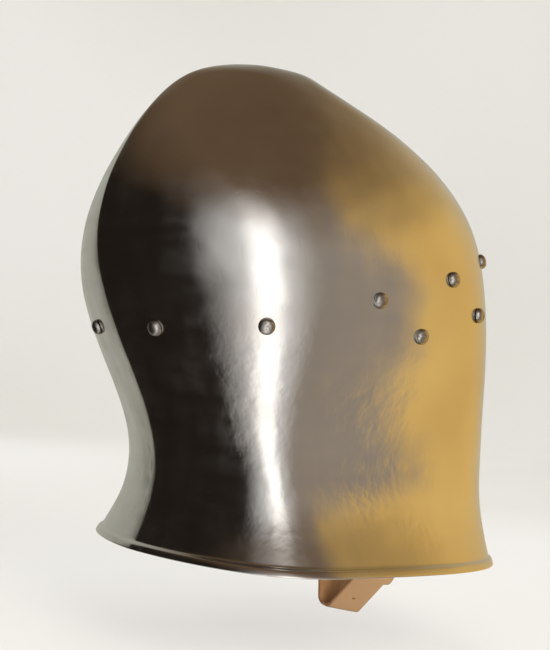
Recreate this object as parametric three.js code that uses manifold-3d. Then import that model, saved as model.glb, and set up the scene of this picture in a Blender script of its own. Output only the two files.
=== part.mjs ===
// Barbute: a one-piece keeled skull with a T-shaped face opening, its riveted lining and a buckled chin strap.
// Millimetres, +Z up, the face towards -Y, the wearer's right at -X. The origin is the seat of the wearer's
// crown inside the lining.
import * as THREE from 'three';
import { mergeVertices } from 'three/addons/utils/BufferGeometryUtils.js';
import Module from 'manifold-3d';

const wasm = await Module();
wasm.setup();

// Skull
const skullHeight = 300;
const skullHalfWidth = 110;
const backReach = 129;
const browReach = 128;
const plate = 2;
const lipHeight = 4.5;
const lipReach = 1.8;
const lipRound = 0.9;
const runningGap = 0.3;
const seatGap = 0.8;

// Face opening
const slitHalfWidth = 21;
const slitWaist = 17;
const slitHeight = 118;
const eyeOuter = 50;
const eyeLow = 144;
const eyeHigh = 172;
const nasalHalfWidth = 9;
const nasalTip = 122;
const edgeRollRadius = 2.1;

// Fasteners
const rivetHeadRadius = 4.7;
const rivetHeadHeight = 3.6;
const rivetShankRadius = 1.9;
const rivetTailRadius = 3.1;
const rivetTailHeight = 1.3;
const washerRadius = 5.2;
const washerThickness = 1;
const holeClearance = 0.45;

// Lining
const bandHeight = 20;
const bandThickness = 2.4;
const leafCount = 8;
const leafThickness = 5;
const leafSwell = 6;
const leafGap = 3;
const crownRoom = 15;
const laceRadius = 1.6;

// Chin strap
const strapWidth = 25;
const strapThickness = 2.4;
const strapPlaneY = -60;
const pivotInset = 32;
const pivotHeight = 92;
const strapShoulder = 15;
const loopBottomX = -12;
const loopBottomZ = -43;
const loopBendX = -42;
const loopBendZ = -12;
const strapBottomRadius = 8;
const strapBendRadius = 36;
const strapShoulderRadius = 22;
const strapEndMargin = 9;
const hangerWidth = 14;
const hangerThickness = 2.2;
const holePitch = 17;
const punchedBelow = 1;
const punchedAbove = 2;
const tailBelowBend = 12;
const punchRadius = 2;
const lowHoleRadius = 1.2;
const lowHoleUp = 11.5;

// Buckle
const barRadius = 1.5;
const buckleLength = 19;
const buckleAboveBend = 32;
const foldLength = 30;
const tongueRadius = 1.2;
const tongueSlot = 12;
const keeperWidth = 9;
const keeperThickness = 1.7;

// Counts of facets
const facets = {
  around: 56,
  up: 24,
  roll: 8,
  rollSteps: 66,
  rivet: 8,
  leafAcross: 6,
  leafUp: 9,
  bar: 12,
  pivot: 16,
  bend: 7,
};

// Shape of the skull: one row for each level, as shares of the named sizes.
const levelShares = [0, 0.07, 0.15, 0.25, 0.36, 0.48, 0.6, 0.72, 0.84, 0.93, 1];
const backShares = [0.72, 0.635, 0.66, 0.82, 0.98, 0.995, 0.89, 0.735, 0.545, 0.37, 0.245];
const frontShares = [1.06, 1.115, 1.14, 1.07, 1.005, 0.95, 0.78, 0.44, 0.115, 0.015, -0.247];
const sideShares = [1.06, 0.845, 0.785, 0.93, 1.01, 0.91, 0.695, 0.465, 0.26, 0.12, 0];
const middleShares = [0.117, 0.205, 0.265, 0.285, 0.255, 0.195, 0.125, 0.08, 0.095, 0.155, 0.245];
const keelLevelShares = [0, 0.35, 0.8, 1];
const backKeelShares = [0.12, 0.17, 0.225, 0];
const frontKeelShares = [0.025, 0.025, 0.025, 0];
const backPowerShares = [2.65, 2.02];
const frontPowerShares = [3.2, 2.1];

// Rows of rivets: turn from the back towards the wearer's right, and level, as shares of a half turn and of the
// way up.
const liningTurnShares = [0.084, 0.354, 0.525, 0.638, 0.799, 1];
const liningLevelShares = [0.286, 0.295, 0.343, 0.388, 0.433, 0.46];
const strapTurnShares = [0.581, 0.721];
const strapLevelShares = [0.3, 0.341];

const turnCrowding = 0.15;
const crownSeat = skullHeight - plate - crownRoom;

// A natural cubic spline through the knots, as a function.
function spline(knots, values) {
  const last = knots.length - 1;
  const lower = new Array(last + 1).fill(0);
  const upper = new Array(last + 1).fill(0);
  const bend = new Array(last + 1).fill(0);
  for (let i = 1; i < last; i += 1) {
    const before = knots[i] - knots[i - 1];
    const after = knots[i + 1] - knots[i];
    const rise = (values[i + 1] - values[i]) / after - (values[i] - values[i - 1]) / before;
    const pivot = 2 * (before + after) - before * lower[i - 1];
    lower[i] = after / pivot;
    upper[i] = (6 * rise - before * upper[i - 1]) / pivot;
  }
  for (let i = last - 1; i > 0; i -= 1) {
    bend[i] = upper[i] - lower[i] * bend[i + 1];
  }
  return (at) => {
    let i = 0;
    while (i < last - 1 && at > knots[i + 1]) {
      i += 1;
    }
    const span = knots[i + 1] - knots[i];
    const a = (knots[i + 1] - at) / span;
    const b = (at - knots[i]) / span;
    const curve = ((a ** 3 - a) * bend[i] + (b ** 3 - b) * bend[i + 1]) * span * span / 6;
    return a * values[i] + b * values[i + 1] + curve;
  };
}

const backAt = spline(levelShares, backShares.map((share) => share * backReach));
const frontAt = spline(levelShares, frontShares.map((share) => share * browReach));
const sideAt = spline(levelShares, sideShares.map((share) => share * skullHalfWidth));
const middleAt = spline(levelShares, middleShares.map((share) => share * backReach));

// A straight line from knot to knot.
function steps(knots, values, at) {
  let i = 0;
  while (i < knots.length - 2 && at > knots[i + 1]) {
    i += 1;
  }
  const part = (at - knots[i]) / (knots[i + 1] - knots[i]);
  return values[i] + (values[i + 1] - values[i]) * part;
}

// Turns all the way round, closer together on the centre line and at the sides, where the skin bends most.
function evenTurns(count) {
  return Array.from({ length: count }, (_, n) => {
    const turn = n * Math.PI * 2 / count;
    return turn - turnCrowding * Math.sin(turn * 4) / 4;
  });
}

function heightAt(level) {
  return skullHeight * Math.sin(level * Math.PI / 2);
}

function levelAt(height) {
  return Math.asin(THREE.MathUtils.clamp(height / skullHeight, 0, 1)) * 2 / Math.PI;
}

function signedPower(value, power) {
  return Math.sign(value) * Math.abs(value) ** power;
}

// The power of a level's superellipse, from the rim to the crown.
function powerAt(level, powers) {
  return powers[0] + (powers[1] - powers[0]) * level;
}

// A point of the outer skin. A level section is a superellipse of its own back, front and side reach, pinched
// to a keel on the centre line. The turn runs from the back over the wearer's right.
function outerSkin(level, turn) {
  const along = Math.cos(turn);
  const across = Math.sin(turn);
  const isBack = along >= 0;
  const middle = middleAt(level);
  const side = Math.max(sideAt(level), 0);
  const power = 2 / powerAt(level, isBack ? backPowerShares : frontPowerShares);
  const reach = isBack ? backAt(level) - middle : middle + frontAt(level);
  const keelShares = isBack ? backKeelShares : frontKeelShares;
  const keel = steps(keelLevelShares, keelShares, level) * skullHalfWidth;
  const pinch = keel * Math.abs(across) * along * Math.abs(along);
  const x = -side * signedPower(across, power);
  const y = middle + reach * signedPower(along, power) - pinch;
  return new THREE.Vector3(x, y, heightAt(level));
}

const slopeStep = 0.002;

// The outward direction of the skin, from small steps along and across it.
function outwardAt(level, turn) {
  const low = Math.max(level - slopeStep, 0);
  const high = Math.min(level + slopeStep, 1 - slopeStep);
  const along = outerSkin(high, turn).sub(outerSkin(low, turn));
  const across = outerSkin(level, turn + slopeStep).sub(outerSkin(level, turn - slopeStep));
  return across.cross(along).normalize();
}

function skinPoint(level, turn, depth) {
  const at = outerSkin(level, turn);
  const out = outwardAt(level, turn);
  return at.addScaledVector(out, -depth);
}

function apexPoint(depth) {
  const at = outerSkin(1, 0);
  at.z -= depth;
  return at;
}

// Turns a list of rings into one closed surface: quads between rings of like count, fans at single points.
function loft(rings, isLoop = false) {
  const positions = [];
  const starts = [];
  for (const ring of rings) {
    starts.push(positions.length / 3);
    for (const point of ring) {
      positions.push(point.x, point.y, point.z);
    }
  }
  const index = [];
  const pairs = isLoop ? rings.length : rings.length - 1;
  for (let i = 0; i < pairs; i += 1) {
    const next = (i + 1) % rings.length;
    const count = Math.max(rings[i].length, rings[next].length);
    for (let j = 0; j < count; j += 1) {
      const k = (j + 1) % count;
      const a = starts[i] + (rings[i].length > 1 ? j : 0);
      const b = starts[i] + (rings[i].length > 1 ? k : 0);
      const c = starts[next] + (rings[next].length > 1 ? k : 0);
      const d = starts[next] + (rings[next].length > 1 ? j : 0);
      if (rings[i].length > 1 && count > 1) {
        index.push(a, b, c);
      }
      if (rings[next].length > 1 && count > 1) {
        index.push(a, c, d);
      }
    }
  }
  const geometry = new THREE.BufferGeometry();
  geometry.setAttribute('position', new THREE.Float32BufferAttribute(positions, 3));
  geometry.setIndex(index);
  return faceOut(geometry);
}

function signedVolume(geometry) {
  const points = geometry.getAttribute('position');
  const index = geometry.getIndex();
  const corners = [new THREE.Vector3(), new THREE.Vector3(), new THREE.Vector3()];
  let total = 0;
  for (let i = 0; i < index.count; i += 3) {
    corners.forEach((corner, n) => corner.fromBufferAttribute(points, index.getX(i + n)));
    total += corners[0].dot(corners[1].clone().cross(corners[2]));
  }
  return total / 6;
}

// Turns every face round if the closed surface is inside out.
function faceOut(geometry) {
  if (signedVolume(geometry) < 0) {
    const index = geometry.getIndex();
    for (let i = 0; i < index.count; i += 3) {
      const kept = index.getX(i);
      index.setX(i, index.getX(i + 1));
      index.setX(i + 1, kept);
    }
  }
  return geometry;
}

function merged(geometry) {
  geometry.deleteAttribute('normal');
  geometry.deleteAttribute('uv');
  return faceOut(mergeVertices(geometry));
}

function solidOf(geometry) {
  return new wasm.Manifold(new wasm.Mesh({
    numProp: 3,
    vertProperties: new Float32Array(geometry.getAttribute('position').array),
    triVerts: new Uint32Array(geometry.getIndex().array),
  }));
}

function geometryOf(solid) {
  const mesh = solid.getMesh();
  const geometry = new THREE.BufferGeometry();
  geometry.setAttribute('position', new THREE.Float32BufferAttribute(mesh.vertProperties, 3));
  geometry.setIndex(new THREE.BufferAttribute(new Uint32Array(mesh.triVerts), 1));
  return geometry;
}

// A closed pad between two grids of points with like rows and columns.
function padBetween(outer, inner) {
  const rows = outer.length;
  const columns = outer[0].length;
  const positions = [...outer.flat(), ...inner.flat()].flatMap((point) => point.toArray());
  const face = (i, j) => i * columns + j;
  const back = (i, j) => (rows + i) * columns + j;
  const index = [];
  const quad = (a, b, c, d) => index.push(a, b, c, a, c, d);
  for (let i = 0; i < rows - 1; i += 1) {
    for (let j = 0; j < columns - 1; j += 1) {
      quad(face(i, j), face(i, j + 1), face(i + 1, j + 1), face(i + 1, j));
      quad(back(i, j), back(i + 1, j), back(i + 1, j + 1), back(i, j + 1));
    }
  }
  for (let j = 0; j < columns - 1; j += 1) {
    quad(face(0, j + 1), face(0, j), back(0, j), back(0, j + 1));
    quad(face(rows - 1, j), face(rows - 1, j + 1), back(rows - 1, j + 1), back(rows - 1, j));
  }
  for (let i = 0; i < rows - 1; i += 1) {
    quad(face(i, 0), face(i + 1, 0), back(i + 1, 0), back(i, 0));
    quad(face(i + 1, columns - 1), face(i, columns - 1), back(i, columns - 1), back(i + 1, columns - 1));
  }
  const geometry = new THREE.BufferGeometry();
  geometry.setAttribute('position', new THREE.Float32BufferAttribute(positions, 3));
  geometry.setIndex(index);
  return faceOut(geometry);
}

function centreOf(ring) {
  const middle = new THREE.Vector3();
  ring.forEach((point) => middle.add(point));
  return middle.divideScalar(ring.length);
}

// A bar or strip whose ends are closed flat.
function capped(rings) {
  return loft([[centreOf(rings[0])], ...rings, [centreOf(rings[rings.length - 1])]]);
}

// Turns a shape drawn around +Y so that it stands on a point and points outward along a direction.
function stand(geometry, at, direction) {
  const upright = new THREE.Vector3(0, 1, 0);
  geometry.applyQuaternion(new THREE.Quaternion().setFromUnitVectors(upright, direction));
  geometry.translate(at.x, at.y, at.z);
  return geometry;
}

function lathe(points, segments = facets.rivet) {
  const profile = points.map(([radius, height]) => new THREE.Vector2(radius, height));
  return merged(new THREE.LatheGeometry(profile, segments));
}

// A round hole cut through everything within the named depth of the skin.
function holeThrough(at, direction, depth, radius = rivetShankRadius + holeClearance) {
  return solidOf(stand(lathe([[0, -depth], [radius, -depth], [radius, depth], [0, depth]]), at, direction));
}

const palette = {
  steel: { color: 0xa9a8a4, roughness: 0.28, metalness: 1 },
  rivetSteel: { color: 0x8f8c86, roughness: 0.35, metalness: 1 },
  iron: { color: 0x6d6862, roughness: 0.5, metalness: 1 },
  leather: { color: 0xb58f66, roughness: 0.75, metalness: 0 },
  liningLeather: { color: 0x8c6844, roughness: 0.8, metalness: 0 },
  canvas: { color: 0xd9cfb8, roughness: 0.95, metalness: 0 },
  cord: { color: 0xcfc2a2, roughness: 0.9, metalness: 0 },
};

const helmet = new THREE.Group();
helmet.position.set(0, -outerSkin(1, 0).y, -crownSeat);

function add(name, geometry, look) {
  const mesh = new THREE.Mesh(geometry, new THREE.MeshStandardMaterial(palette[look]));
  mesh.name = name;
  helmet.add(mesh);
}

// The places of the rivets on the right side. A mirrored copy stands on the left.
function rowOf(turns, levels) {
  return turns.map((turn, i) => ({ turn: turn * Math.PI, level: levels[i] }));
}

const liningRow = rowOf(liningTurnShares, liningLevelShares);
const strapRow = rowOf(strapTurnShares, strapLevelShares);

function mirroredTurns(row) {
  const left = row.filter((place) => place.turn < Math.PI).map((place) => ({ ...place, turn: -place.turn }));
  return [...row, ...left];
}

const liningPlaces = mirroredTurns(liningRow);
const strapPlaces = mirroredTurns(strapRow);

// Outline of the face opening in the plane seen from the front, right half from the rim up to the nasal.
function faceOutline() {
  const eyeMiddle = (eyeLow + eyeHigh) / 2;
  const eyeHalf = (eyeHigh - eyeLow) / 2;
  const browInner = nasalHalfWidth + eyeHalf / 2;
  const curve = new THREE.Path();
  curve.moveTo(slitHalfWidth, 0);
  curve.lineTo(slitWaist, slitHeight * 0.8);
  curve.bezierCurveTo(slitWaist, slitHeight, slitWaist + eyeHalf, eyeLow - eyeHalf / 3, eyeOuter - eyeHalf, eyeLow);
  curve.bezierCurveTo(eyeOuter - eyeHalf / 2, eyeLow + eyeHalf / 4, eyeOuter, eyeMiddle - eyeHalf / 2,
    eyeOuter, eyeMiddle);
  curve.bezierCurveTo(eyeOuter, eyeHigh - eyeHalf / 4, eyeOuter - eyeHalf, eyeHigh, browInner + eyeHalf / 2, eyeHigh);
  curve.bezierCurveTo(browInner - eyeHalf / 3, eyeHigh, nasalHalfWidth, eyeHigh - eyeHalf / 3,
    nasalHalfWidth, eyeMiddle);
  curve.lineTo(nasalHalfWidth * 0.72, nasalTip + nasalHalfWidth);
  curve.quadraticCurveTo(nasalHalfWidth * 0.6, nasalTip, 0, nasalTip);
  return curve.getSpacedPoints(facets.rollSteps / 2);
}

const rightOutline = faceOutline();
const leftOutline = rightOutline.slice(0, -1).reverse().map((point) => new THREE.Vector2(-point.x, point.y));
const openingOutline = [...rightOutline, ...leftOutline];

function openingCutter() {
  const shape = new THREE.Shape([
    new THREE.Vector2(-slitHalfWidth, -lipHeight),
    new THREE.Vector2(slitHalfWidth, -lipHeight),
    ...openingOutline,
  ]);
  const depth = browReach * 2;
  const geometry = new THREE.ExtrudeGeometry(shape, { depth, bevelEnabled: false });
  geometry.rotateX(Math.PI / 2);
  return solidOf(merged(geometry));
}

// The turn at which the front of a level reaches a distance from the centre line.
function frontTurn(level, x) {
  const share = Math.min(Math.abs(x) / sideAt(level), 1);
  const turn = Math.PI - Math.asin(share ** (powerAt(level, frontPowerShares) / 2));
  return x > 0 ? -turn : turn;
}

// The rolled edge follows the outline of the opening over the middle of the plate.
function edgeRoll() {
  const middles = openingOutline.map((point) => {
    const level = levelAt(point.y);
    return { at: skinPoint(level, frontTurn(level, point.x), plate / 2), level, x: point.x };
  });
  const rings = middles.map(({ at, level, x }, i) => {
    const before = middles[Math.max(i - 1, 0)].at;
    const after = middles[Math.min(i + 1, middles.length - 1)].at;
    const ahead = after.clone().sub(before).normalize();
    const out = outwardAt(level, frontTurn(level, x));
    out.addScaledVector(ahead, -out.dot(ahead)).normalize();
    const beside = ahead.clone().cross(out);
    const isEnd = i === 0 || i === middles.length - 1;
    return Array.from({ length: facets.roll }, (_, n) => {
      const angle = n * Math.PI * 2 / facets.roll;
      const point = at.clone()
        .addScaledVector(out, edgeRollRadius * Math.cos(angle))
        .addScaledVector(beside, edgeRollRadius * Math.sin(angle));
      point.z = isEnd ? 0 : Math.max(point.z, 0);
      return point;
    });
  });
  return solidOf(capped(rings));
}

// The skull's plate: outer skin with a turned lip round the rim, and an inner skin one plate further in.
function skullPlate() {
  const turns = evenTurns(facets.around);
  const flatOut = (level, turn) => outwardAt(level, turn).setZ(0).normalize();
  const lipRows = [
    [0, lipReach - lipRound],
    [lipRound, lipReach],
    [lipHeight - lipRound, lipReach],
    [lipHeight, lipReach - lipRound],
    [lipHeight + lipRound / 2, 0],
  ];
  const outerRings = lipRows.map(([height, reach]) => turns.map((turn) => {
    const point = outerSkin(levelAt(height), turn).addScaledVector(flatOut(levelAt(height), turn), reach);
    point.z = height;
    return point;
  }));
  const lipLevel = levelAt(lipHeight + lipRound);
  for (let i = 1; i < facets.up; i += 1) {
    const level = lipLevel + (1 - lipLevel) * i / facets.up;
    outerRings.push(turns.map((turn) => outerSkin(level, turn)));
  }
  const innerRings = [];
  for (let i = facets.up - 1; i >= 0; i -= 1) {
    const level = i / facets.up;
    innerRings.push(turns.map((turn) => {
      const point = skinPoint(level, turn, plate);
      point.z = i === 0 ? 0 : point.z;
      return point;
    }));
  }
  return solidOf(loft([...outerRings, [apexPoint(0)], [apexPoint(plate)], ...innerRings], true));
}

const shellReach = plate * 3;
let skull = skullPlate().subtract(openingCutter()).add(edgeRoll());
for (const { turn, level } of [...liningPlaces, ...strapPlaces]) {
  skull = skull.subtract(holeThrough(outerSkin(level, turn), outwardAt(level, turn), shellReach));
}
add('skull_shell', geometryOf(skull), 'steel');

// A domed rivet, its grip measured inward from its seat, with its tail hammered flat over a washer.
function rivet(grip, headRadius = rivetHeadRadius, headHeight = rivetHeadHeight, segments = facets.rivet) {
  return lathe([
    [0, -grip - rivetTailHeight],
    [rivetTailRadius * 0.75, -grip - rivetTailHeight],
    [rivetTailRadius, -grip - rivetTailHeight / 2],
    [rivetTailRadius, -grip],
    [rivetShankRadius, -grip],
    [rivetShankRadius, 0],
    [headRadius, 0],
    [headRadius * 0.9, headHeight * 0.45],
    [headRadius * 0.55, headHeight * 0.88],
    [0, headHeight],
  ], segments);
}

function washer() {
  const bore = rivetShankRadius + holeClearance;
  return lathe([
    [bore, 0],
    [washerRadius, 0],
    [washerRadius, washerThickness],
    [bore, washerThickness],
    [bore, 0],
  ]);
}

const bandDepth = plate + seatGap;
const leafDepth = bandDepth + runningGap * 2;
const liningWasherDepth = bandDepth + bandThickness + washerThickness + seatGap * 1.25;
const hangerDepth = plate + seatGap;
const strapWasherDepth = hangerDepth + hangerThickness + washerThickness + seatGap * 2;

function addFasteners(places, baseName, washerDepth) {
  places.forEach(({ turn, level }, i) => {
    const out = outwardAt(level, turn);
    const seat = outerSkin(level, turn).addScaledVector(out, runningGap);
    const name = `${baseName}_${i + 1}`;
    add(name, stand(rivet(washerDepth + runningGap * 2), seat, out), 'rivetSteel');
    const washerSeat = outerSkin(level, turn).addScaledVector(out, -washerDepth);
    add(`${name}_washer`, stand(washer(), washerSeat, out), 'iron');
  });
}

addFasteners(liningPlaces, 'lining_rivet', liningWasherDepth);
addFasteners(strapPlaces, 'strap_rivet', strapWasherDepth);

// Level of the middle of the lining band at a turn, through the rivets of both sides.
const bandTurns = [
  -liningRow[1].turn,
  -liningRow[0].turn,
  ...liningRow.map((place) => place.turn),
  Math.PI * 2 - liningRow[4].turn,
  Math.PI * 2 - liningRow[3].turn,
];
const bandLevels = [
  liningRow[1].level,
  liningRow[0].level,
  ...liningRow.map((place) => place.level),
  liningRow[4].level,
  liningRow[3].level,
];
const bandLevel = spline(bandTurns, bandLevels);

function bandLevelAt(turn) {
  const half = Math.abs(THREE.MathUtils.euclideanModulo(turn + Math.PI, Math.PI * 2) - Math.PI);
  return bandLevel(half);
}

// How far the level runs for a length measured up the skin.
function levelStep(level, turn, length) {
  const low = outerSkin(level - slopeStep, turn);
  const high = outerSkin(level + slopeStep, turn);
  return length * slopeStep * 2 / high.distanceTo(low);
}

function liningBand() {
  const rings = evenTurns(facets.around).map((turn) => {
    const level = bandLevelAt(turn);
    const half = levelStep(level, turn, bandHeight / 2);
    return [
      skinPoint(level - half, turn, bandDepth),
      skinPoint(level + half, turn, bandDepth),
      skinPoint(level + half, turn, bandDepth + bandThickness),
      skinPoint(level - half, turn, bandDepth + bandThickness),
    ];
  });
  let solid = solidOf(loft(rings, true));
  for (const { turn, level } of liningPlaces) {
    solid = solid.subtract(holeThrough(outerSkin(level, turn), outwardAt(level, turn), shellReach * 2));
  }
  return geometryOf(solid);
}

add('lining_band', liningBand(), 'liningLeather');

// One padded leaf of the lining: wide at the band, narrower at its rounded tip, swelling between its edges.
const leafTopLevelShare = 0.82;
const leafFoot = bandHeight / 2 + leafGap / 2;

function leaf(middleTurn) {
  const halfTurn = Math.PI / leafCount;
  const outer = [];
  const inner = [];
  for (let i = 0; i <= facets.leafUp; i += 1) {
    const up = i / facets.leafUp;
    const tip = Math.sqrt(Math.max(1 - Math.max(up - 0.75, 0) ** 2 * 12, 0.2));
    const outerLine = [];
    const innerLine = [];
    for (let j = 0; j <= facets.leafAcross; j += 1) {
      const across = (j / facets.leafAcross) * 2 - 1;
      const around = middleTurn + across * halfTurn;
      const foot = bandLevelAt(around) + levelStep(bandLevelAt(around), around, leafFoot);
      const level = foot + (leafTopLevelShare - foot) * up;
      const girth = outerSkin(level, middleTurn + halfTurn).distanceTo(outerSkin(level, middleTurn - halfTurn));
      const turn = middleTurn + across * (halfTurn - leafGap / girth * halfTurn) * tip;
      const swell = leafSwell * (1 - across ** 4) * Math.sin(Math.PI * Math.min(up * 0.9 + 0.08, 1));
      outerLine.push(skinPoint(level, turn, leafDepth));
      innerLine.push(skinPoint(level, turn, leafDepth + leafThickness / 2 + swell));
    }
    outer.push(outerLine);
    inner.push(innerLine);
  }
  return padBetween(outer, inner);
}

for (let n = 0; n < leafCount; n += 1) {
  add(`lining_leaf_${n + 1}`, leaf((n + 0.5) * Math.PI * 2 / leafCount), 'canvas');
}

// The lace that gathers the tips of the leaves, lying on their inner face.
function crownLace() {
  const depth = leafDepth + leafThickness / 2 + leafSwell * 0.34 + laceRadius;
  const level = leafTopLevelShare - 0.03;
  const rings = Array.from({ length: facets.around }, (_, n) => {
    const turn = n * Math.PI * 2 / facets.around;
    const at = skinPoint(level, turn, depth);
    const ahead = skinPoint(level, turn + slopeStep, depth).sub(at).normalize();
    const out = outwardAt(level, turn);
    const beside = ahead.clone().cross(out).normalize();
    return Array.from({ length: facets.roll }, (_unused, k) => {
      const angle = k * Math.PI * 2 / facets.roll;
      return at.clone()
        .addScaledVector(out, laceRadius * Math.cos(angle))
        .addScaledVector(beside, laceRadius * Math.sin(angle));
    });
  });
  return loft(rings, true);
}

add('crown_lace', crownLace(), 'cord');

// The two forked hangers. Each hangs from a pair of rivets and joins them at one pivot. An arm follows the skin
// and leaves it gradually for the pivot.
const pivotHalfSpan = skullHalfWidth - pivotInset;
const pivotRight = new THREE.Vector3(-pivotHalfSpan, strapPlaneY, pivotHeight);
const hangerHead = 9;

// The turn at which a level in front of the middle reaches a place along Y.
function turnAtY(level, y) {
  const middle = middleAt(level);
  const share = (middle - y) / (middle + frontAt(level));
  return Math.PI - Math.acos(share ** (powerAt(level, frontPowerShares) / 2));
}

function hangerArm(place) {
  const footLevel = levelAt(pivotHeight);
  const footTurn = turnAtY(footLevel, strapPlaneY);
  const depth = hangerDepth + hangerThickness / 2;
  const miss = pivotRight.clone().sub(skinPoint(footLevel, footTurn, depth));
  const side = new THREE.Vector3(-1, 0, 0);
  const placeOf = (share) => [
    place.level + (footLevel - place.level) * share,
    place.turn + (footTurn - place.turn) * share,
  ];
  const leftSkin = (share) => THREE.MathUtils.smoothstep(share, 0, 0.8);
  const middleOf = (share) => {
    const at = skinPoint(...placeOf(share), depth);
    at.x += (pivotRight.x - at.x) * leftSkin(share);
    at.y += miss.y * share;
    at.z += miss.z * share;
    return at;
  };
  const headShare = -hangerHead / pivotRight.distanceTo(middleOf(0));
  const rings = [headShare, headShare / 2, 0, 0.2, 0.4, 0.6, 0.8, 1].map((share) => {
    const at = middleOf(share);
    const ahead = middleOf(share + slopeStep).sub(middleOf(share - slopeStep)).normalize();
    const turned = outwardAt(...placeOf(share)).lerp(side, leftSkin(share));
    turned.addScaledVector(ahead, -turned.dot(ahead)).normalize();
    const beside = ahead.clone().cross(turned).normalize();
    const corner = (across, through) => at.clone()
      .addScaledVector(beside, across * hangerWidth / 2)
      .addScaledVector(turned, through * hangerThickness / 2);
    return [corner(-1, -1), corner(1, -1), corner(1, 1), corner(-1, 1)];
  });
  return solidOf(capped(rings));
}

function mirrored(geometry) {
  geometry.scale(-1, 1, 1);
  return faceOut(geometry);
}

function hanger() {
  const side = new THREE.Vector3(-1, 0, 0);
  const half = hangerThickness / 2;
  const disc = lathe([[0, -half], [hangerHead, -half], [hangerHead, half], [0, half]], facets.roll * 2);
  const round = stand(disc, pivotRight, side);
  let solid = solidOf(round);
  for (const place of strapRow) {
    solid = solid.add(hangerArm(place));
  }
  for (const place of strapRow) {
    const at = outerSkin(place.level, place.turn);
    solid = solid.subtract(holeThrough(at, outwardAt(place.level, place.turn), shellReach * 2));
  }
  return geometryOf(solid.subtract(holeThrough(pivotRight, side, hangerHead)));
}

add('strap_hanger_right', hanger(), 'leather');
add('strap_hanger_left', mirrored(hanger()), 'leather');

// The chin strap lies in one plane. Its route runs down from a pivot, bends in at the shoulder and rounds the
// bottom.
function roundedRoute(corners, radii) {
  const points = [corners[0]];
  for (let i = 1; i < corners.length - 1; i += 1) {
    const corner = corners[i];
    const back = corners[i - 1].clone().sub(corner).normalize();
    const ahead = corners[i + 1].clone().sub(corner).normalize();
    const half = Math.acos(THREE.MathUtils.clamp(back.dot(ahead), -1, 1)) / 2;
    const cut = radii[i - 1] / Math.tan(half);
    const middle = back.clone().add(ahead).normalize().multiplyScalar(radii[i - 1] / Math.sin(half)).add(corner);
    const first = back.clone().multiplyScalar(cut).add(corner).sub(middle);
    const last = ahead.clone().multiplyScalar(cut).add(corner).sub(middle);
    const start = first.angle();
    const sweep = Math.atan2(first.cross(last), first.dot(last));
    for (let k = 0; k <= facets.bend; k += 1) {
      const angle = start + sweep * k / facets.bend;
      points.push(new THREE.Vector2(Math.cos(angle), Math.sin(angle)).multiplyScalar(radii[i - 1]).add(middle));
    }
  }
  points.push(corners[corners.length - 1]);
  return points;
}

// Both sides of a route, moved apart by half a thickness, as one closed outline.
function thickened(route, thickness, shift = 0) {
  const side = (offset) => route.map((point, i) => {
    const before = route[Math.max(i - 1, 0)];
    const after = route[Math.min(i + 1, route.length - 1)];
    const into = point.clone().sub(before).normalize();
    const outOf = after.clone().sub(point).normalize();
    const first = i === 0 ? outOf : into;
    const last = i === route.length - 1 ? into : outOf;
    const normal = new THREE.Vector2(-first.y - last.y, first.x + last.x).normalize();
    const stretch = 1 / Math.sqrt((1 + first.dot(last)) / 2);
    return point.clone().addScaledVector(normal, offset * stretch);
  });
  return [...side(shift + thickness / 2), ...side(shift - thickness / 2).reverse()];
}

// An outline in the plane of X and Z, given a width along Y about the strap's plane.
function slab(outline, width) {
  const geometry = new THREE.ExtrudeGeometry(new THREE.Shape(outline), { depth: width, bevelEnabled: false });
  geometry.rotateX(Math.PI / 2);
  geometry.translate(0, strapPlaneY + width / 2, 0);
  return merged(geometry);
}

const strapStep = strapThickness + runningGap;
const strapX = pivotHalfSpan - hangerThickness / 2 - runningGap - strapThickness / 2;
const strapTop = pivotHeight + strapEndMargin;
const strapShoulderZ = pivotHeight - strapShoulder;
const bottomCorner = new THREE.Vector2(loopBottomX, loopBottomZ);
const bendCorner = new THREE.Vector2(loopBendX, loopBendZ);
const leftShoulder = new THREE.Vector2(strapX, strapShoulderZ);
const rightShoulder = new THREE.Vector2(-strapX, strapShoulderZ);

// The upper right arm carries the buckle: along it towards the shoulder, and out of it away from the neck.
const armUp = rightShoulder.clone().sub(bendCorner).normalize();
const armOut = new THREE.Vector2(-armUp.y, armUp.x);
const lowerUp = bendCorner.clone().sub(bottomCorner).normalize();
const lowerOut = new THREE.Vector2(-lowerUp.y, lowerUp.x);
const barDepth = barRadius + runningGap + strapThickness / 2;
const barSeat = bendCorner.clone().addScaledVector(armUp, buckleAboveBend);

function armPoint(along, out) {
  return barSeat.clone().addScaledVector(armUp, along).addScaledVector(armOut, out);
}

const foldStep = strapThickness + runningGap * 1.4;

function buckleStrap() {
  const down = roundedRoute(
    [new THREE.Vector2(strapX, strapTop), leftShoulder, bottomCorner, bendCorner, armPoint(0, 0)],
    [strapShoulderRadius, strapBottomRadius, strapBendRadius],
  );
  const fold = [];
  for (let k = 1; k <= facets.bend; k += 1) {
    const angle = Math.PI / 2 - Math.PI * k / facets.bend;
    fold.push(armPoint(barDepth * Math.cos(angle), -barDepth + barDepth * Math.sin(angle)));
  }
  const back = [armPoint(-foldLength * 0.4, -foldStep), armPoint(-foldLength, -foldStep)];
  return thickened([...down, ...fold, ...back], strapThickness);
}

const pivotHole = () => holeThrough(
  new THREE.Vector3(0, strapPlaneY, pivotHeight),
  new THREE.Vector3(1, 0, 0),
  pivotHalfSpan * 2,
);

const slotHalf = barRadius * 1.6;

function slotCut(from, to, inner, outer) {
  const outline = [armPoint(from, inner), armPoint(to, inner), armPoint(to, outer), armPoint(from, outer)];
  return solidOf(slab(outline, slotHalf * 2));
}

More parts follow.
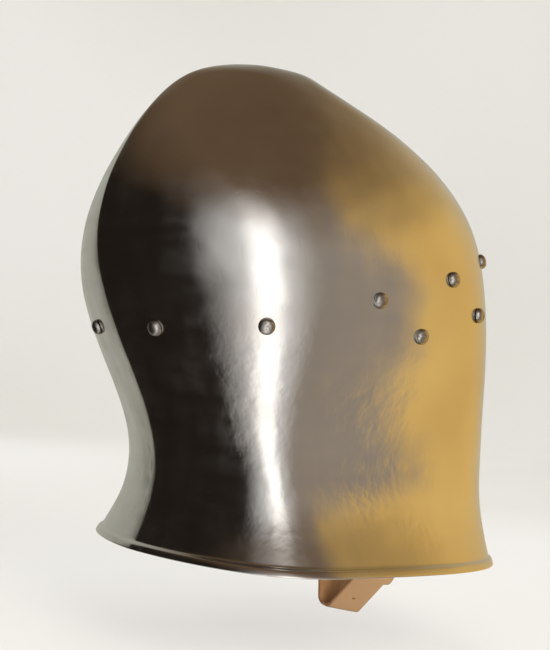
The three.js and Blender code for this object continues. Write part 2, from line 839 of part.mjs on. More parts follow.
const lowHoleAt = bottomCorner.clone().addScaledVector(lowerUp, lowHoleUp);
const lowHole = () => holeThrough(
  new THREE.Vector3(lowHoleAt.x, strapPlaneY, lowHoleAt.y),
  new THREE.Vector3(lowerOut.x, 0, lowerOut.y),
  strapThickness,
  lowHoleRadius,
);

const foldReach = barDepth + strapThickness;
const leftStrap = solidOf(slab(buckleStrap(), strapWidth))
  .subtract(pivotHole())
  .subtract(lowHole())
  .subtract(slotCut(-foldReach, foldReach * 2, -foldReach * 2, foldReach));
add('chin_strap_left', geometryOf(leftStrap), 'leather');

// The billet comes down from the right pivot on the outside of the buckle strap, and its tail ends below the bend.
const tongueHole = buckleLength * 0.4;

function billetHole(along, length, radius) {
  const out = new THREE.Vector3(armOut.x, 0, armOut.y);
  const cut = (distance) => {
    const at = armPoint(distance, strapStep);
    return holeThrough(new THREE.Vector3(at.x, strapPlaneY, at.y), out, strapThickness, radius);
  };
  let hole = cut(along);
  if (length > 0) {
    const outline = [
      armPoint(along - length / 2, strapStep - strapThickness),
      armPoint(along + length / 2, strapStep - strapThickness),
      armPoint(along + length / 2, strapStep + strapThickness),
      armPoint(along - length / 2, strapStep + strapThickness),
    ];
    hole = solidOf(slab(outline, radius * 2));
  }
  return hole;
}

function billet() {
  const outerShoulder = rightShoulder.clone().addScaledVector(armOut, strapStep);
  outerShoulder.addScaledVector(armUp, -armOut.x * strapStep / armUp.x);
  const bisector = armOut.clone().add(lowerOut).divideScalar(1 + armOut.dot(lowerOut));
  const outerBend = bendCorner.clone().addScaledVector(bisector, strapStep);
  const tail = outerBend.clone().addScaledVector(lowerUp, -tailBelowBend);
  const route = roundedRoute(
    [new THREE.Vector2(-strapX, strapTop), outerShoulder, outerBend, tail],
    [strapShoulderRadius, strapBendRadius + strapStep],
  );
  let solid = solidOf(slab(thickened(route, strapThickness), strapWidth));
  solid = solid.subtract(pivotHole()).subtract(billetHole(tongueHole, tongueSlot, slotHalf));
  for (let n = -punchedBelow; n <= punchedAbove; n += 1) {
    if (n !== 0) {
      solid = solid.subtract(billetHole(tongueHole + n * holePitch, 0, punchRadius));
    }
  }
  return geometryOf(solid);
}

add('chin_strap_right', billet(), 'leather');

// Buckle: a frame of round bar. Its hinge bar lies in the fold and its front bar over the billet.
const hingeBar = armPoint(0, -barDepth);
const frontOut = strapStep + strapThickness / 2 + runningGap + barRadius;
const frontAlong = Math.sqrt(buckleLength ** 2 - (frontOut + barDepth) ** 2);
const frontBar = armPoint(frontAlong, frontOut);
const tongueTurn = Math.sign(armUp.cross(armOut));
const frameHalfWidth = strapWidth / 2 + runningGap * 2 + barRadius;

function rod(from, to, radius, overrun) {
  const ahead = to.clone().sub(from);
  const length = ahead.length();
  const bar = lathe([[0, -overrun], [radius, -overrun], [radius, length + overrun], [0, length + overrun]], facets.bar);
  return solidOf(stand(bar, from, ahead.normalize()));
}

function at3(point, y) {
  return new THREE.Vector3(point.x, strapPlaneY + y, point.y);
}

function buckleFrame() {
  const corners = [
    at3(hingeBar, -frameHalfWidth),
    at3(hingeBar, frameHalfWidth),
    at3(frontBar, frameHalfWidth),
    at3(frontBar, -frameHalfWidth),
  ];
  let solid = rod(corners[3], corners[0], barRadius, 0);
  for (let n = 0; n < 3; n += 1) {
    solid = solid.add(rod(corners[n], corners[n + 1], barRadius, n === 1 ? 0 : barRadius));
  }
  return geometryOf(solid);
}

add('buckle_frame', buckleFrame(), 'iron');

function buckleTongue() {
  const eyeHalf = slotHalf - runningGap * 2;
  const bore = barRadius + runningGap;
  const rim = bore + tongueRadius;
  const eye = lathe([
    [bore, -eyeHalf],
    [rim, -eyeHalf],
    [rim, eyeHalf],
    [bore, eyeHalf],
    [bore, -eyeHalf],
  ], facets.bar * 2);
  eye.translate(hingeBar.x, strapPlaneY, hingeBar.y);
  const lift = Math.asin((barRadius + runningGap + tongueRadius) / buckleLength);
  const ahead = frontBar.clone().sub(hingeBar).normalize().rotateAround(new THREE.Vector2(), tongueTurn * lift);
  const tip = hingeBar.clone().addScaledVector(ahead, buckleLength + barRadius);
  const root = hingeBar.clone().addScaledVector(ahead, bore + tongueRadius / 3);
  return geometryOf(solidOf(eye).add(rod(at3(root, 0), at3(tip, 0), tongueRadius, 0)));
}

add('buckle_tongue', buckleTongue(), 'iron');

// A leather loop sewn to the fold keeps the billet on the buckle strap.
function strapKeeper() {
  const low = -foldStep - strapThickness / 2 - runningGap;
  const high = strapStep + strapThickness / 2 + runningGap;
  const wall = keeperThickness;
  const middle = -foldLength * 0.7;
  const ring = (half, extra) => [
    armPoint(middle - half, low - extra),
    armPoint(middle + half, low - extra),
    armPoint(middle + half, high + extra),
    armPoint(middle - half, high + extra),
  ];
  const outer = solidOf(slab(ring(keeperWidth / 2, wall), strapWidth + (runningGap + wall) * 2));
  const inner = solidOf(slab(ring(keeperWidth, 0), strapWidth + runningGap * 2));
  return geometryOf(outer.subtract(inner));
}

add('strap_keeper', strapKeeper(), 'leather');

// The pivots on which the chin strap swings, one on each side.
function pivotFasteners(sign, sideName) {
  const out = new THREE.Vector3(sign, 0, 0);
  const seat = new THREE.Vector3(sign * (pivotHalfSpan + hangerThickness / 2 + runningGap), strapPlaneY, pivotHeight);
  const underWasher = hangerThickness + strapThickness + runningGap * 3;
  const grip = underWasher + washerThickness + runningGap;
  const rivetHead = rivet(grip, rivetHeadRadius * 0.85, rivetHeadHeight * 0.45, facets.pivot);
  add(`strap_pivot_${sideName}`, stand(rivetHead, seat, out), 'rivetSteel');
  const washerSeat = seat.clone().addScaledVector(out, -underWasher - washerThickness);
  add(`strap_pivot_${sideName}_washer`, stand(washer(), washerSeat, out), 'iron');
}

pivotFasteners(-1, 'right');
pivotFasteners(1, 'left');

export default helmet;
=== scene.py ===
"""Barbute: the dressed model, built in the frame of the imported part.

Sizes are in millimetres in the helmet's own frame (rim plane at z 0, face towards -Y) and are moved to the
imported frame, in metres, as each mesh is made.
"""

from __future__ import annotations

import logging
import math
from dataclasses import dataclass, field
from enum import Enum
from typing import Callable, Sequence

import bpy
import numpy as np
from mathutils import Matrix, Vector

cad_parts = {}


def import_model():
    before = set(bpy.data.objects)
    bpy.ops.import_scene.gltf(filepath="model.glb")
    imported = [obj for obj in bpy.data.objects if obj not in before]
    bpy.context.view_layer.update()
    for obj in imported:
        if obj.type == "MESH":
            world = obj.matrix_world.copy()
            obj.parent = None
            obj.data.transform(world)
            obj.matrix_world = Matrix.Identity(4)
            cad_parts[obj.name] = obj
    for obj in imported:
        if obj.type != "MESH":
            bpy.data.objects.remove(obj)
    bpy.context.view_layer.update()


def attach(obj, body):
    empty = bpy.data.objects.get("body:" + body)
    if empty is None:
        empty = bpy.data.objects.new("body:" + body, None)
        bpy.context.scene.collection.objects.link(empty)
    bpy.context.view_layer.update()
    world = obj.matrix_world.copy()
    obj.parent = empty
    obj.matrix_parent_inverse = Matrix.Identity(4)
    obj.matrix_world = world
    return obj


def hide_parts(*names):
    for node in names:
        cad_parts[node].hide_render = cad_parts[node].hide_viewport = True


LOG = logging.getLogger("barbute")
MM = 0.001
Array = np.ndarray


class Body(Enum):
    """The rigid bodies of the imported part."""

    HELMET = "helmet"
    CHIN_STRAP = "chin_strap"
    BUCKLE = "buckle"
    TONGUE = "tongue"


class Join(Enum):
    """How a closed shape changes the piece that it meets."""

    CUT = "DIFFERENCE"
    UNITE = "UNION"


# Numbers and surfaces


def natural_spline(knots: Sequence[float], values: Sequence[float]) -> Callable[[Array], Array]:
    """Cubic spline with no bend at its two ends.

    Args:
        knots: Rising places of the knots.
        values: Value at each knot.

    Returns:
        A function of an array of places.
    """
    x = np.asarray(knots, float)
    y = np.asarray(values, float)
    span = np.diff(x)
    slope = np.diff(y) / span
    count = len(x)
    system = np.eye(count)
    right = np.zeros(count)
    inner = np.arange(1, count - 1)
    system[inner, inner - 1] = span[:-1]
    system[inner, inner] = 2 * (span[:-1] + span[1:])
    system[inner, inner + 1] = span[1:]
    right[inner] = 6 * (slope[1:] - slope[:-1])
    bend = np.linalg.solve(system, right)

    def value(at: Array) -> Array:
        """The spline at each place: the line between two knots plus the cubic part of both bends."""
        at = np.asarray(at, float)
        i = np.clip(np.searchsorted(x, at) - 1, 0, count - 2)
        a = (x[i + 1] - at) / span[i]
        b = (at - x[i]) / span[i]
        curve = ((a**3 - a) * bend[i] + (b**3 - b) * bend[i + 1]) * span[i] ** 2 / 6
        return a * y[i] + b * y[i + 1] + curve

    return value


def unit(vectors: Array) -> Array:
    """Vectors divided by their lengths."""
    return vectors / np.maximum(np.linalg.norm(vectors, axis=-1, keepdims=True), 1e-12)


def undulation(points: Array, wavelength: float, seed: int, waves: int = 14) -> Array:
    """Smooth uneven field: a sum of cosines in seeded directions, scaled to about -1..1.

    Args:
        points: Places in millimetres, last axis x, y, z.
        wavelength: Middle wavelength in millimetres; waves run from half to one and a half of it.
        seed: Seed of the directions and phases.
        waves: How many cosines are added.

    Returns:
        One number for each place.
    """
    rng = np.random.default_rng(seed)
    ahead = unit(rng.normal(size=(waves, 3)))
    length = wavelength * rng.uniform(0.5, 1.5, waves)
    phase = rng.uniform(0, 2 * np.pi, waves)
    wave = np.tensordot(points, (ahead * (2 * np.pi / length)[:, None]).T, axes=1) + phase
    return np.cos(wave).sum(axis=-1) / math.sqrt(waves)


def grid_quads(rows: int, columns: int, wrap_rows: bool = False, wrap_columns: bool = False) -> Array:
    """Quads of a grid whose points are numbered row by row."""
    i = np.arange(rows if wrap_rows else rows - 1)
    j = np.arange(columns if wrap_columns else columns - 1)
    a, b = np.meshgrid(i, j, indexing="ij")
    down, across = (a + 1) % rows, (b + 1) % columns
    corners = [a * columns + b, a * columns + across, down * columns + across, down * columns + b]
    return np.stack([corner.ravel() for corner in corners], axis=1)


def tube_faces(rows: int, columns: int, is_loop: bool = False) -> list[list[int]]:
    """Faces of a tube whose points are numbered row by row; its two ends are closed unless it is a loop."""
    faces = grid_quads(rows, columns, wrap_rows=is_loop, wrap_columns=True).tolist()
    if not is_loop:
        last = (rows - 1) * columns
        faces += [list(range(columns))[::-1], [last + k for k in range(columns)]]
    return faces


def on_circle(angle: Array) -> Array:
    """Points of the unit circle at some angles, two columns."""
    return np.stack([np.cos(angle), np.sin(angle)], axis=1)


def circle(sides: int) -> Array:
    """Evenly spaced points of the unit circle, two columns."""
    return on_circle(np.linspace(0, 2 * np.pi, sides, endpoint=False))


def eased(share: Array) -> Array:
    """A share from 0 to 1 with a soft start and a soft end."""
    return share * share * (3 - 2 * share)


def squared(out: Array, ahead: Array) -> Array:
    """Directions turned square to the way ahead."""
    return unit(out - ahead * (out * ahead).sum(axis=1, keepdims=True))


def resampled(path: Array, spacing: float) -> Array:
    """A polyline given evenly spaced points: each coordinate read off along the length."""
    steps = np.linalg.norm(np.diff(path, axis=0), axis=1)
    along = np.concatenate([[0.0], np.cumsum(steps)])
    count = max(int(round(along[-1] / spacing)), 2)
    at = np.linspace(0, along[-1], count + 1)
    return np.stack([np.interp(at, along, path[:, k]) for k in range(path.shape[1])], axis=1)


def rounded_route(corners: Sequence[Sequence[float]], radii: Sequence[float], steps: int = 20) -> Array:
    """A plane route whose inner corners are arcs touching both of their sides.

    Args:
        corners: Corner points in the plane.
        radii: Radius at each inner corner.
        steps: Points on each arc.

    Returns:
        The route's points, two columns.
    """
    points = [np.asarray(corners[0], float)[None, :]]
    for before, corner, after, radius in zip(corners[:-2], corners[1:-1], corners[2:], radii):
        at = np.asarray(corner, float)
        back = unit(np.asarray(before, float) - at)
        ahead = unit(np.asarray(after, float) - at)
        half = math.acos(float(np.clip(back @ ahead, -1, 1))) / 2
        middle = at + unit(back + ahead) * radius / math.sin(half)
        first = at + back * radius / math.tan(half) - middle
        last = at + ahead * radius / math.tan(half) - middle
        start = math.atan2(first[1], first[0])
        sweep = math.atan2(first[0] * last[1] - first[1] * last[0], float(first @ last))
        angle = start + sweep * np.linspace(0, 1, steps)
        points.append(middle + radius * on_circle(angle))
    points.append(np.asarray(corners[-1], float)[None, :])
    return np.concatenate(points)


@dataclass(frozen=True)
class SkullSkin:
    """The outer skin of the skull as a surface of level and turn.

    A level section is a superellipse with its own back, front and side reach, pinched to a keel on the centre
    line. The level runs from the rim, 0, to the crown, 1, and the turn from the back over the wearer's right.
    """

    height: float = 300.0
    half_width: float = 110.0
    back_reach: float = 129.0
    brow_reach: float = 128.0
    crown_seat: float = 283.0
    levels: tuple[float, ...] = (0, 0.07, 0.15, 0.25, 0.36, 0.48, 0.6, 0.72, 0.84, 0.93, 1)
    back: tuple[float, ...] = (0.72, 0.635, 0.66, 0.82, 0.98, 0.995, 0.89, 0.735, 0.545, 0.37, 0.245)
    front: tuple[float, ...] = (1.06, 1.115, 1.14, 1.07, 1.005, 0.95, 0.78, 0.44, 0.115, 0.015, -0.247)
    side: tuple[float, ...] = (1.06, 0.845, 0.785, 0.93, 1.01, 0.91, 0.695, 0.465, 0.26, 0.12, 0)
    middle: tuple[float, ...] = (0.117, 0.205, 0.265, 0.285, 0.255, 0.195, 0.125, 0.08, 0.095, 0.155, 0.245)
    keel_levels: tuple[float, ...] = (0, 0.35, 0.8, 1)
    back_keel: tuple[float, ...] = (0.12, 0.17, 0.225, 0)
    front_keel: tuple[float, ...] = (0.025, 0.025, 0.025, 0)
    back_power: tuple[float, float] = (2.65, 2.02)
    front_power: tuple[float, float] = (3.2, 2.1)

    def _reach(self, shares: tuple[float, ...], size: float, level: Array) -> Array:
        """A named size times its share at each level."""
        return natural_spline(self.levels, shares)(level) * size

    def sizes_at(self, level: Array) -> tuple[Array, Array, Array, Array]:
        """A level's middle, and its reach from there to the side, to the back and to the front."""
        middle = self._reach(self.middle, self.back_reach, level)
        side = np.maximum(self._reach(self.side, self.half_width, level), 0)
        back = self._reach(self.back, self.back_reach, level) - middle
        front = self._reach(self.front, self.brow_reach, level) + middle
        return middle, side, back, front

    def outer(self, level: Array, turn: Array) -> Array:
        """Points of the skin: x is minus the side reach times a power of the sine; y is the middle plus the
        reach times a power of the cosine, less the keel's pinch; z is the height times the sine of the level.

        Args:
            level: Share of the way up, any shape.
            turn: Turn in radians, same shape.

        Returns:
            The points in millimetres, one more axis than the level.
        """
        level, turn = np.broadcast_arrays(np.asarray(level, float), np.asarray(turn, float))
        along, across = np.cos(turn), np.sin(turn)
        is_back = along >= 0
        middle, side, back, front = self.sizes_at(level)
        power = 2 / self.power_at(level, is_back)
        keel_back = np.interp(level, self.keel_levels, self.back_keel)
        keel_front = np.interp(level, self.keel_levels, self.front_keel)
        keel = np.where(is_back, keel_back, keel_front) * self.half_width
        x = -side * np.sign(across) * np.abs(across) ** power
        reach = np.where(is_back, back, front) * np.sign(along) * np.abs(along) ** power
        y = middle + reach - keel * np.abs(across) * along * np.abs(along)
        return np.stack([x, y, self.height * np.sin(level * np.pi / 2)], axis=-1)

    def power_at(self, level: Array, is_back: Array) -> Array:
        """Power of the level's superellipse, a straight line from the rim to the crown."""
        low = np.where(is_back, self.back_power[0], self.front_power[0])
        high = np.where(is_back, self.back_power[1], self.front_power[1])
        return low + (high - low) * level

    def outward(self, level: Array, turn: Array) -> Array:
        """Outward direction: the cross product of small steps round and up the skin."""
        step = 0.002
        level, turn = np.broadcast_arrays(np.asarray(level, float), np.asarray(turn, float))
        low, high = np.maximum(level - step, 0), np.minimum(level + step, 1 - step)
        up = self.outer(high, turn) - self.outer(low, turn)
        around = self.outer(level, turn + step) - self.outer(level, turn - step)
        return unit(np.cross(around, up))

    def point(self, level: Array, turn: Array, depth: float | Array) -> Array:
        """Points a depth inside the skin."""
        return self.outer(level, turn) - self.outward(level, turn) * np.asarray(depth)[..., None]

    def level_at(self, height: Array) -> Array:
        """Level of a height: the arc sine of its share."""
        return np.arcsin(np.clip(np.asarray(height, float) / self.height, 0, 1)) * 2 / np.pi

    def front_turn(self, level: Array, x: Array) -> Array:
        """Turn at which the front of a level stands a distance x from the centre line."""
        side = self._reach(self.side, self.half_width, level)
        power = self.power_at(level, np.zeros(np.shape(level), bool)) / 2
        turn = np.pi - np.arcsin(np.minimum(np.abs(x) / side, 1) ** power)
        return np.where(np.asarray(x) > 0, -turn, turn)

    def origin(self) -> Array:
        """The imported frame's origin, seen from the helmet's own frame."""
        apex = self.outer(np.array(1.0), np.array(0.0))[1]
        return np.array([0.0, apex, self.crown_seat])

    def to_frame(self, points: Array) -> Array:
        """Points moved from the helmet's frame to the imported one, in metres."""
        return (points - self.origin()) * MM


SKIN = SkullSkin()
CREASE = math.radians(42)


# Pieces


def new_mesh(name: str, points: Array, faces: Sequence[Sequence[int]]) -> bpy.types.Mesh:
    """A mesh whose points are given in millimetres in the helmet's frame."""
    mesh = bpy.data.meshes.new(name)
    listed = faces.tolist() if isinstance(faces, np.ndarray) else [list(face) for face in faces]
    mesh.from_pydata(SKIN.to_frame(np.asarray(points, float)).tolist(), [], listed)
    return mesh


def piece(
    name: str,
    points: Array,
    faces: Sequence[Sequence[int]],
    finish: "Finish",
    body: Body,
    nodes: Sequence[str] = (),
    facts: dict[str, Array] | None = None,
) -> bpy.types.Object:
    """A mesh object at the origin that rides on a body and stands for its CAD nodes.

    Args:
        name: Name of the piece.
        points: Vertices in millimetres in the helmet's frame.
        faces: Corner numbers of each face.
        finish: The finish it gets.
        body: Body it rides on.
        nodes: CAD nodes that it replaces.
        facts: Numbers kept on each vertex, by name.

    Returns:
        The new object.
    """
    mesh = new_mesh(name, points, faces)
    for key, values in (facts or {}).items():
        mesh.attributes.new(key, "FLOAT", "POINT").data.foreach_set("value", np.asarray(values, np.float32).ravel())
    obj = bpy.data.objects.new(name, mesh)
    bpy.context.scene.collection.objects.link(obj)
    return dressed(obj, finish, body, nodes)


def dressed(
    obj: bpy.types.Object, finish: "Finish", body: Body, nodes: Sequence[str] = ()
) -> bpy.types.Object:
    """Smooths, paints and hangs a piece on its body."""
    outward(obj.data)
    obj.data.shade_smooth()
    obj.data.set_sharp_from_angle(angle=CREASE)
    obj.data.materials.clear()
    obj.data.materials.append(finish.material())
    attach(obj, body.value)
    if nodes:
        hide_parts(*nodes)
    LOG.info("%s: %d faces", obj.name, len(obj.data.polygons))
    return obj


def outward(mesh: bpy.types.Mesh) -> None:
    """Turns every face round if the closed mesh holds a negative volume."""
    mesh.calc_loop_triangles()
    corners = np.empty(len(mesh.loop_triangles) * 3, np.int32)
    mesh.loop_triangles.foreach_get("vertices", corners)
    points = np.empty(len(mesh.vertices) * 3)
    mesh.vertices.foreach_get("co", points)
    a, b, c = points.reshape(-1, 3)[corners.reshape(-1, 3)].transpose(1, 0, 2)
    if np.einsum("ij,ij->", a, np.cross(b, c)) < 0:
        mesh.flip_normals()
    mesh.update()


def evaluated(obj: bpy.types.Object) -> None:
    """Takes the result of an object's modifiers as its mesh and leaves no modifier on it."""
    graph = bpy.context.evaluated_depsgraph_get()
    made = bpy.data.meshes.new_from_object(obj.evaluated_get(graph), depsgraph=graph)
    obj.modifiers.clear()
    obj.data = made


def combine(obj: bpy.types.Object, points: Array, faces: Sequence[Sequence[int]], how: Join) -> None:
    """Cuts a closed shape, in millimetres, out of an object, or unites the two."""
    mesh = new_mesh("tool", points, faces)
    outward(mesh)
    tool = bpy.data.objects.new("tool", mesh)
    bpy.context.scene.collection.objects.link(tool)
    change = obj.modifiers.new("combine", "BOOLEAN")
    change.operation, change.solver, change.object = how.value, "EXACT", tool
    evaluated(obj)
    bpy.data.objects.remove(tool)
    bpy.data.meshes.remove(mesh)


def prism(outline: Array, low: float, high: float, axis: int) -> tuple[Array, list[list[int]]]:
    """A closed prism: a plane outline carried from low to high along an axis, with the other two axes in order."""
    ends = [np.insert(outline, axis, level, axis=1) for level in (low, high)]
    return np.concatenate(ends), tube_faces(2, len(outline))


def turned_points(profile: Array, sides: int, at: Array, ahead: Array) -> Array:
    """A profile of radius and height turned about a direction.

    Args:
        profile: Rows of radius and height.
        sides: Points round each circle.
        at: Foot of the axis.
        ahead: Direction of the axis.

    Returns:
        Points, row by row of the profile.
    """
    ahead = unit(np.asarray(ahead, float))
    helper = np.array([0.0, 0.0, 1.0]) if abs(ahead[2]) < 0.9 else np.array([1.0, 0.0, 0.0])
    u = unit(np.cross(ahead, helper))
    v = np.cross(ahead, u)
    turn = circle(sides)
    ring = turn[:, :1] * u + turn[:, 1:] * v
    return (at + profile[:, None, :1] * ring[None] + profile[:, None, 1:] * ahead).reshape(-1, 3)


def swept(
    centres: Array, across: Array, up: Array, section: Array, is_loop: bool = False
) -> tuple[Array, list[list[int]]]:
    """A section carried along a path: centre plus the section's two numbers times the two side directions.

    Args:
        centres: Points of the path.
        across: Direction of the section's first number at each point.
        up: Direction of the section's second number at each point.
        section: Closed section, two columns, or one for each point of the path.
        is_loop: Whether the path closes on itself.

    Returns:
        Points and faces of the closed shape.
    """
    section = np.broadcast_to(section, (len(centres),) + section.shape[-2:])
    points = centres[:, None] + section[..., :1] * across[:, None] + section[..., 1:] * up[:, None]
    return points.reshape(-1, 3), tube_faces(*points.shape[:2], is_loop)


def strap_section(width: float, thickness: float, edge: float = 0.8, flat: int = 11) -> Array:
    """A flat strap's section: two flats joined by edges rounded like an ellipse of the edge's depth."""
    x = np.linspace(-1, 1, flat) * (width / 2 - edge)
    turn = np.linspace(0, np.pi, 7)[1:-1]
    right = np.stack([width / 2 - edge + edge * np.sin(turn), thickness / 2 * np.cos(turn)], axis=1)
    top = np.stack([x, np.full(flat, thickness / 2)], axis=1)
    bottom = np.stack([x[::-1], np.full(flat, -thickness / 2)], axis=1)
    left = np.stack([-right[::-1, 0], right[::-1, 1]], axis=1)
    return np.concatenate([top, right, bottom, left])


def strap_facts(section: Array, width: float, rows: int) -> dict[str, Array]:
    """Facts of a strap's vertices: edge is 1 at the cut edges, flesh is 1 on the inner, suede side."""
    edge = np.clip((np.abs(section[:, 0]) - (width / 2 - 1.6)) / 1.6, 0, 1)
    flesh = (section[:, 1] < 0).astype(float)
    return {"edge": np.tile(edge, rows), "flesh": np.tile(flesh, rows)}


def short_threads(centre: Array, beside: Array, up: Array, thick: Array) -> tuple[Array, Array]:
    """Six-sided closed tubes round many short lines.

    Args:
        centre: Points of the lines, one row for each line.
        beside: Direction beside the line at each point.
        up: Direction above the line at each point.
        thick: Radius at each point of a line, the same for all.

    Returns:
        Points and faces of all the tubes.
    """
    count, rows = centre.shape[:2]
    ring = circle(6)
    sides = beside[:, :, None] * ring[:, :1] + up[:, :, None] * ring[:, 1:]
    points = centre[:, :, None] + sides * thick[None, :, None, None]
    start_cap = np.array([[0, 5, 4, 3], [0, 3, 2, 1]])
    end_cap = np.array([[0, 1, 2, 3], [0, 3, 4, 5]]) + (rows - 1) * 6
    one = np.concatenate([grid_quads(rows, 6, wrap_columns=True), start_cap, end_cap])
    faces = (one[None] + (np.arange(count) * rows * 6)[:, None, None]).reshape(-1, 4)
    return points.reshape(-1, 3), faces


def stitch_row(path: Array, up: Array, pitch: float, radius: float) -> tuple[Array, Array]:
    """Hand-sewn stitches along a path: short arcs of thread that rise from their holes and lie flat between.

    Args:
        path: Points of the seam, on the surface.
        up: Outward direction at each point.
        pitch: Length from hole to hole.
        radius: Radius of the thread.

    Returns:
        Points and faces of all the stitches.
    """
    steps = np.linalg.norm(np.diff(path, axis=0), axis=1)
    along = np.concatenate([[0.0], np.cumsum(steps)])
    count = max(int(along[-1] / pitch), 1)
    reach = 0.42
    share = np.linspace(-reach, reach, 5)
    at = (np.arange(count)[:, None] + 0.5 + share[None]) * (along[-1] / count)
    place = np.stack([np.interp(at, along, path[:, k]) for k in range(3)], axis=-1)
    rise = unit(np.stack([np.interp(at, along, up[:, k]) for k in range(3)], axis=-1))
    ahead = unit(place[:, -1] - place[:, 0])[:, None].repeat(5, 1)
    beside = np.cross(ahead, rise)
    lift = radius * (1 - (share / reach) ** 4 * 2.2)
    thick = radius * np.sqrt(np.maximum(1 - (share / 0.47) ** 6, 0.05))
    return short_threads(place + rise * lift[None, :, None], beside, rise, thick)


def merged(parts: Sequence[tuple[Array, Sequence[Sequence[int]]]]) -> tuple[Array, list[list[int]]]:
    """Several meshes as one list of points and faces."""
    points: list[Array] = []
    faces: list[list[int]] = []
    start = 0
    for part_points, part_faces in parts:
        points.append(np.asarray(part_points))
        faces += (np.asarray(part_faces, dtype=int) + start).tolist() if isinstance(part_faces, np.ndarray) else [
            [corner + start for corner in face] for face in part_faces
        ]
        start += len(part_points)
    return np.concatenate(points), faces


# Finishes


def linear(colour: str) -> tuple[float, float, float, float]:
    """An sRGB hex colour as linear numbers with full alpha."""
    parts = [int(colour[k : k + 2], 16) / 255 for k in (1, 3, 5)]
    low = [part / 12.92 if part <= 0.04045 else ((part + 0.055) / 1.055) ** 2.4 for part in parts]
    return low[0], low[1], low[2], 1.0


def add_node(
    tree: bpy.types.NodeTree, kind: str, settings: dict | None = None, inputs: dict | None = None
) -> bpy.types.Node:
    """Adds a node, sets its options, and gives each named or numbered input a value or a link.

    Args:
        tree: Tree that gets the node.
        kind: Blender's type name.
        settings: Options by name.
        inputs: Sockets by name or number, each with a value or another node's output.

    Returns:
        The node.
    """
    node = tree.nodes.new(kind)
    for key, value in (settings or {}).items():
        setattr(node, key, value)
    for key, value in (inputs or {}).items():
        if isinstance(value, bpy.types.NodeSocket):
            tree.links.new(value, node.inputs[key])
        else:
            node.inputs[key].default_value = value
    return node


@dataclass(frozen=True)
class Finish:
    """A finish: what it is called, the record's slot, and its plain numbers."""

    name: str
    slot: str
    colour: str
    second: str
    roughness: float
    metallic: float = 0.0

    def material(self) -> bpy.types.Material:
        """The finish as a material, made once."""
        found = bpy.data.materials.get(self.name)
        if found:
            return found
        made = bpy.data.materials.new(self.name)
        made.use_nodes = True
        made.node_tree.nodes.clear()
        tree = made.node_tree
        shader = add_node(tree, "ShaderNodeBsdfPrincipled", None, {"Metallic": self.metallic})
        add_node(tree, "ShaderNodeOutputMaterial", None, {"Surface": shader.outputs[0]})
        self.paint(tree, shader)
        return made

    def paint(self, tree: bpy.types.NodeTree, shader: bpy.types.Node) -> None:
        """Gives the shader its colour, roughness and relief."""
        raise NotImplementedError

    def place(
        self, tree: bpy.types.NodeTree, scale: Sequence[float] = (1, 1, 1), lean: float = 0.0
    ) -> bpy.types.NodeSocket:
        """The piece's own coordinates, leaned sideways by some degrees and then stretched along the axes."""
        found = add_node(tree, "ShaderNodeTexCoord").outputs["Object"]
        if lean:
            found = add_node(
                tree, "ShaderNodeMapping", None, {"Vector": found, "Rotation": (0.0, math.radians(lean), 0.0)}
            ).outputs[0]
        return add_node(tree, "ShaderNodeMapping", None, {"Vector": found, "Scale": tuple(scale)}).outputs[0]

    def noise(
        self, tree: bpy.types.NodeTree, size: float, stretch: Sequence[float] = (1, 1, 1), detail: float = 3,
        lean: float = 0.0,
    ) -> bpy.types.NodeSocket:
        """Noise whose lumps are about a size in millimetres, longer along an axis with a small stretch."""
        where = self.place(tree, stretch, lean)
        return add_node(
            tree, "ShaderNodeTexNoise", None,
            {"Vector": where, "Scale": 1 / (size * MM), "Detail": detail, "Roughness": 0.55},
        ).outputs[0]

    def mottled(
        self, tree: bpy.types.NodeTree, pattern: bpy.types.NodeSocket,
        first: bpy.types.NodeSocket | tuple, second: bpy.types.NodeSocket | tuple,
        span: tuple[float, float] = (0.3, 0.7), most: float = 1.0,
    ) -> bpy.types.NodeSocket:
        """Two colours mixed by a pattern: the first alone at the span's start, most of the second at its end."""
        share = add_node(
            tree, "ShaderNodeMapRange", None,
            {"Value": pattern, "From Min": span[0], "From Max": span[1], "To Max": most},
        ).outputs[0]
        return add_node(tree, "ShaderNodeMix", {"data_type": "RGBA"}, {0: share, 6: first, 7: second}).outputs[2]

    def dulled(
        self, tree: bpy.types.NodeTree, shader: bpy.types.Node, pattern: bpy.types.NodeSocket,
        change: tuple[float, float], span: tuple[float, float] = (0.3, 0.7),
    ) -> None:
        """Changes the roughness by a pattern: by the first change at the span's start, by the second at its end."""
        rough = add_node(
            tree, "ShaderNodeMapRange", None,
            {"Value": pattern, "From Min": span[0], "From Max": span[1], "To Min": self.roughness + change[0],
             "To Max": self.roughness + change[1]},
        ).outputs[0]
        tree.links.new(rough, shader.inputs["Roughness"])

    def relief(
        self, tree: bpy.types.NodeTree, shader: bpy.types.Node,
        layers: Sequence[tuple[bpy.types.NodeSocket, float, float]],
    ) -> None:
        """Bump layers, each a height, a strength and a depth in millimetres, one on the other."""
        normal = None
        for height, strength, depth in layers:
            inputs = {"Height": height, "Strength": strength, "Distance": depth * MM}
            if normal is not None:
                inputs["Normal"] = normal
            normal = add_node(tree, "ShaderNodeBump", None, inputs).outputs[0]
        tree.links.new(normal, shader.inputs["Normal"])


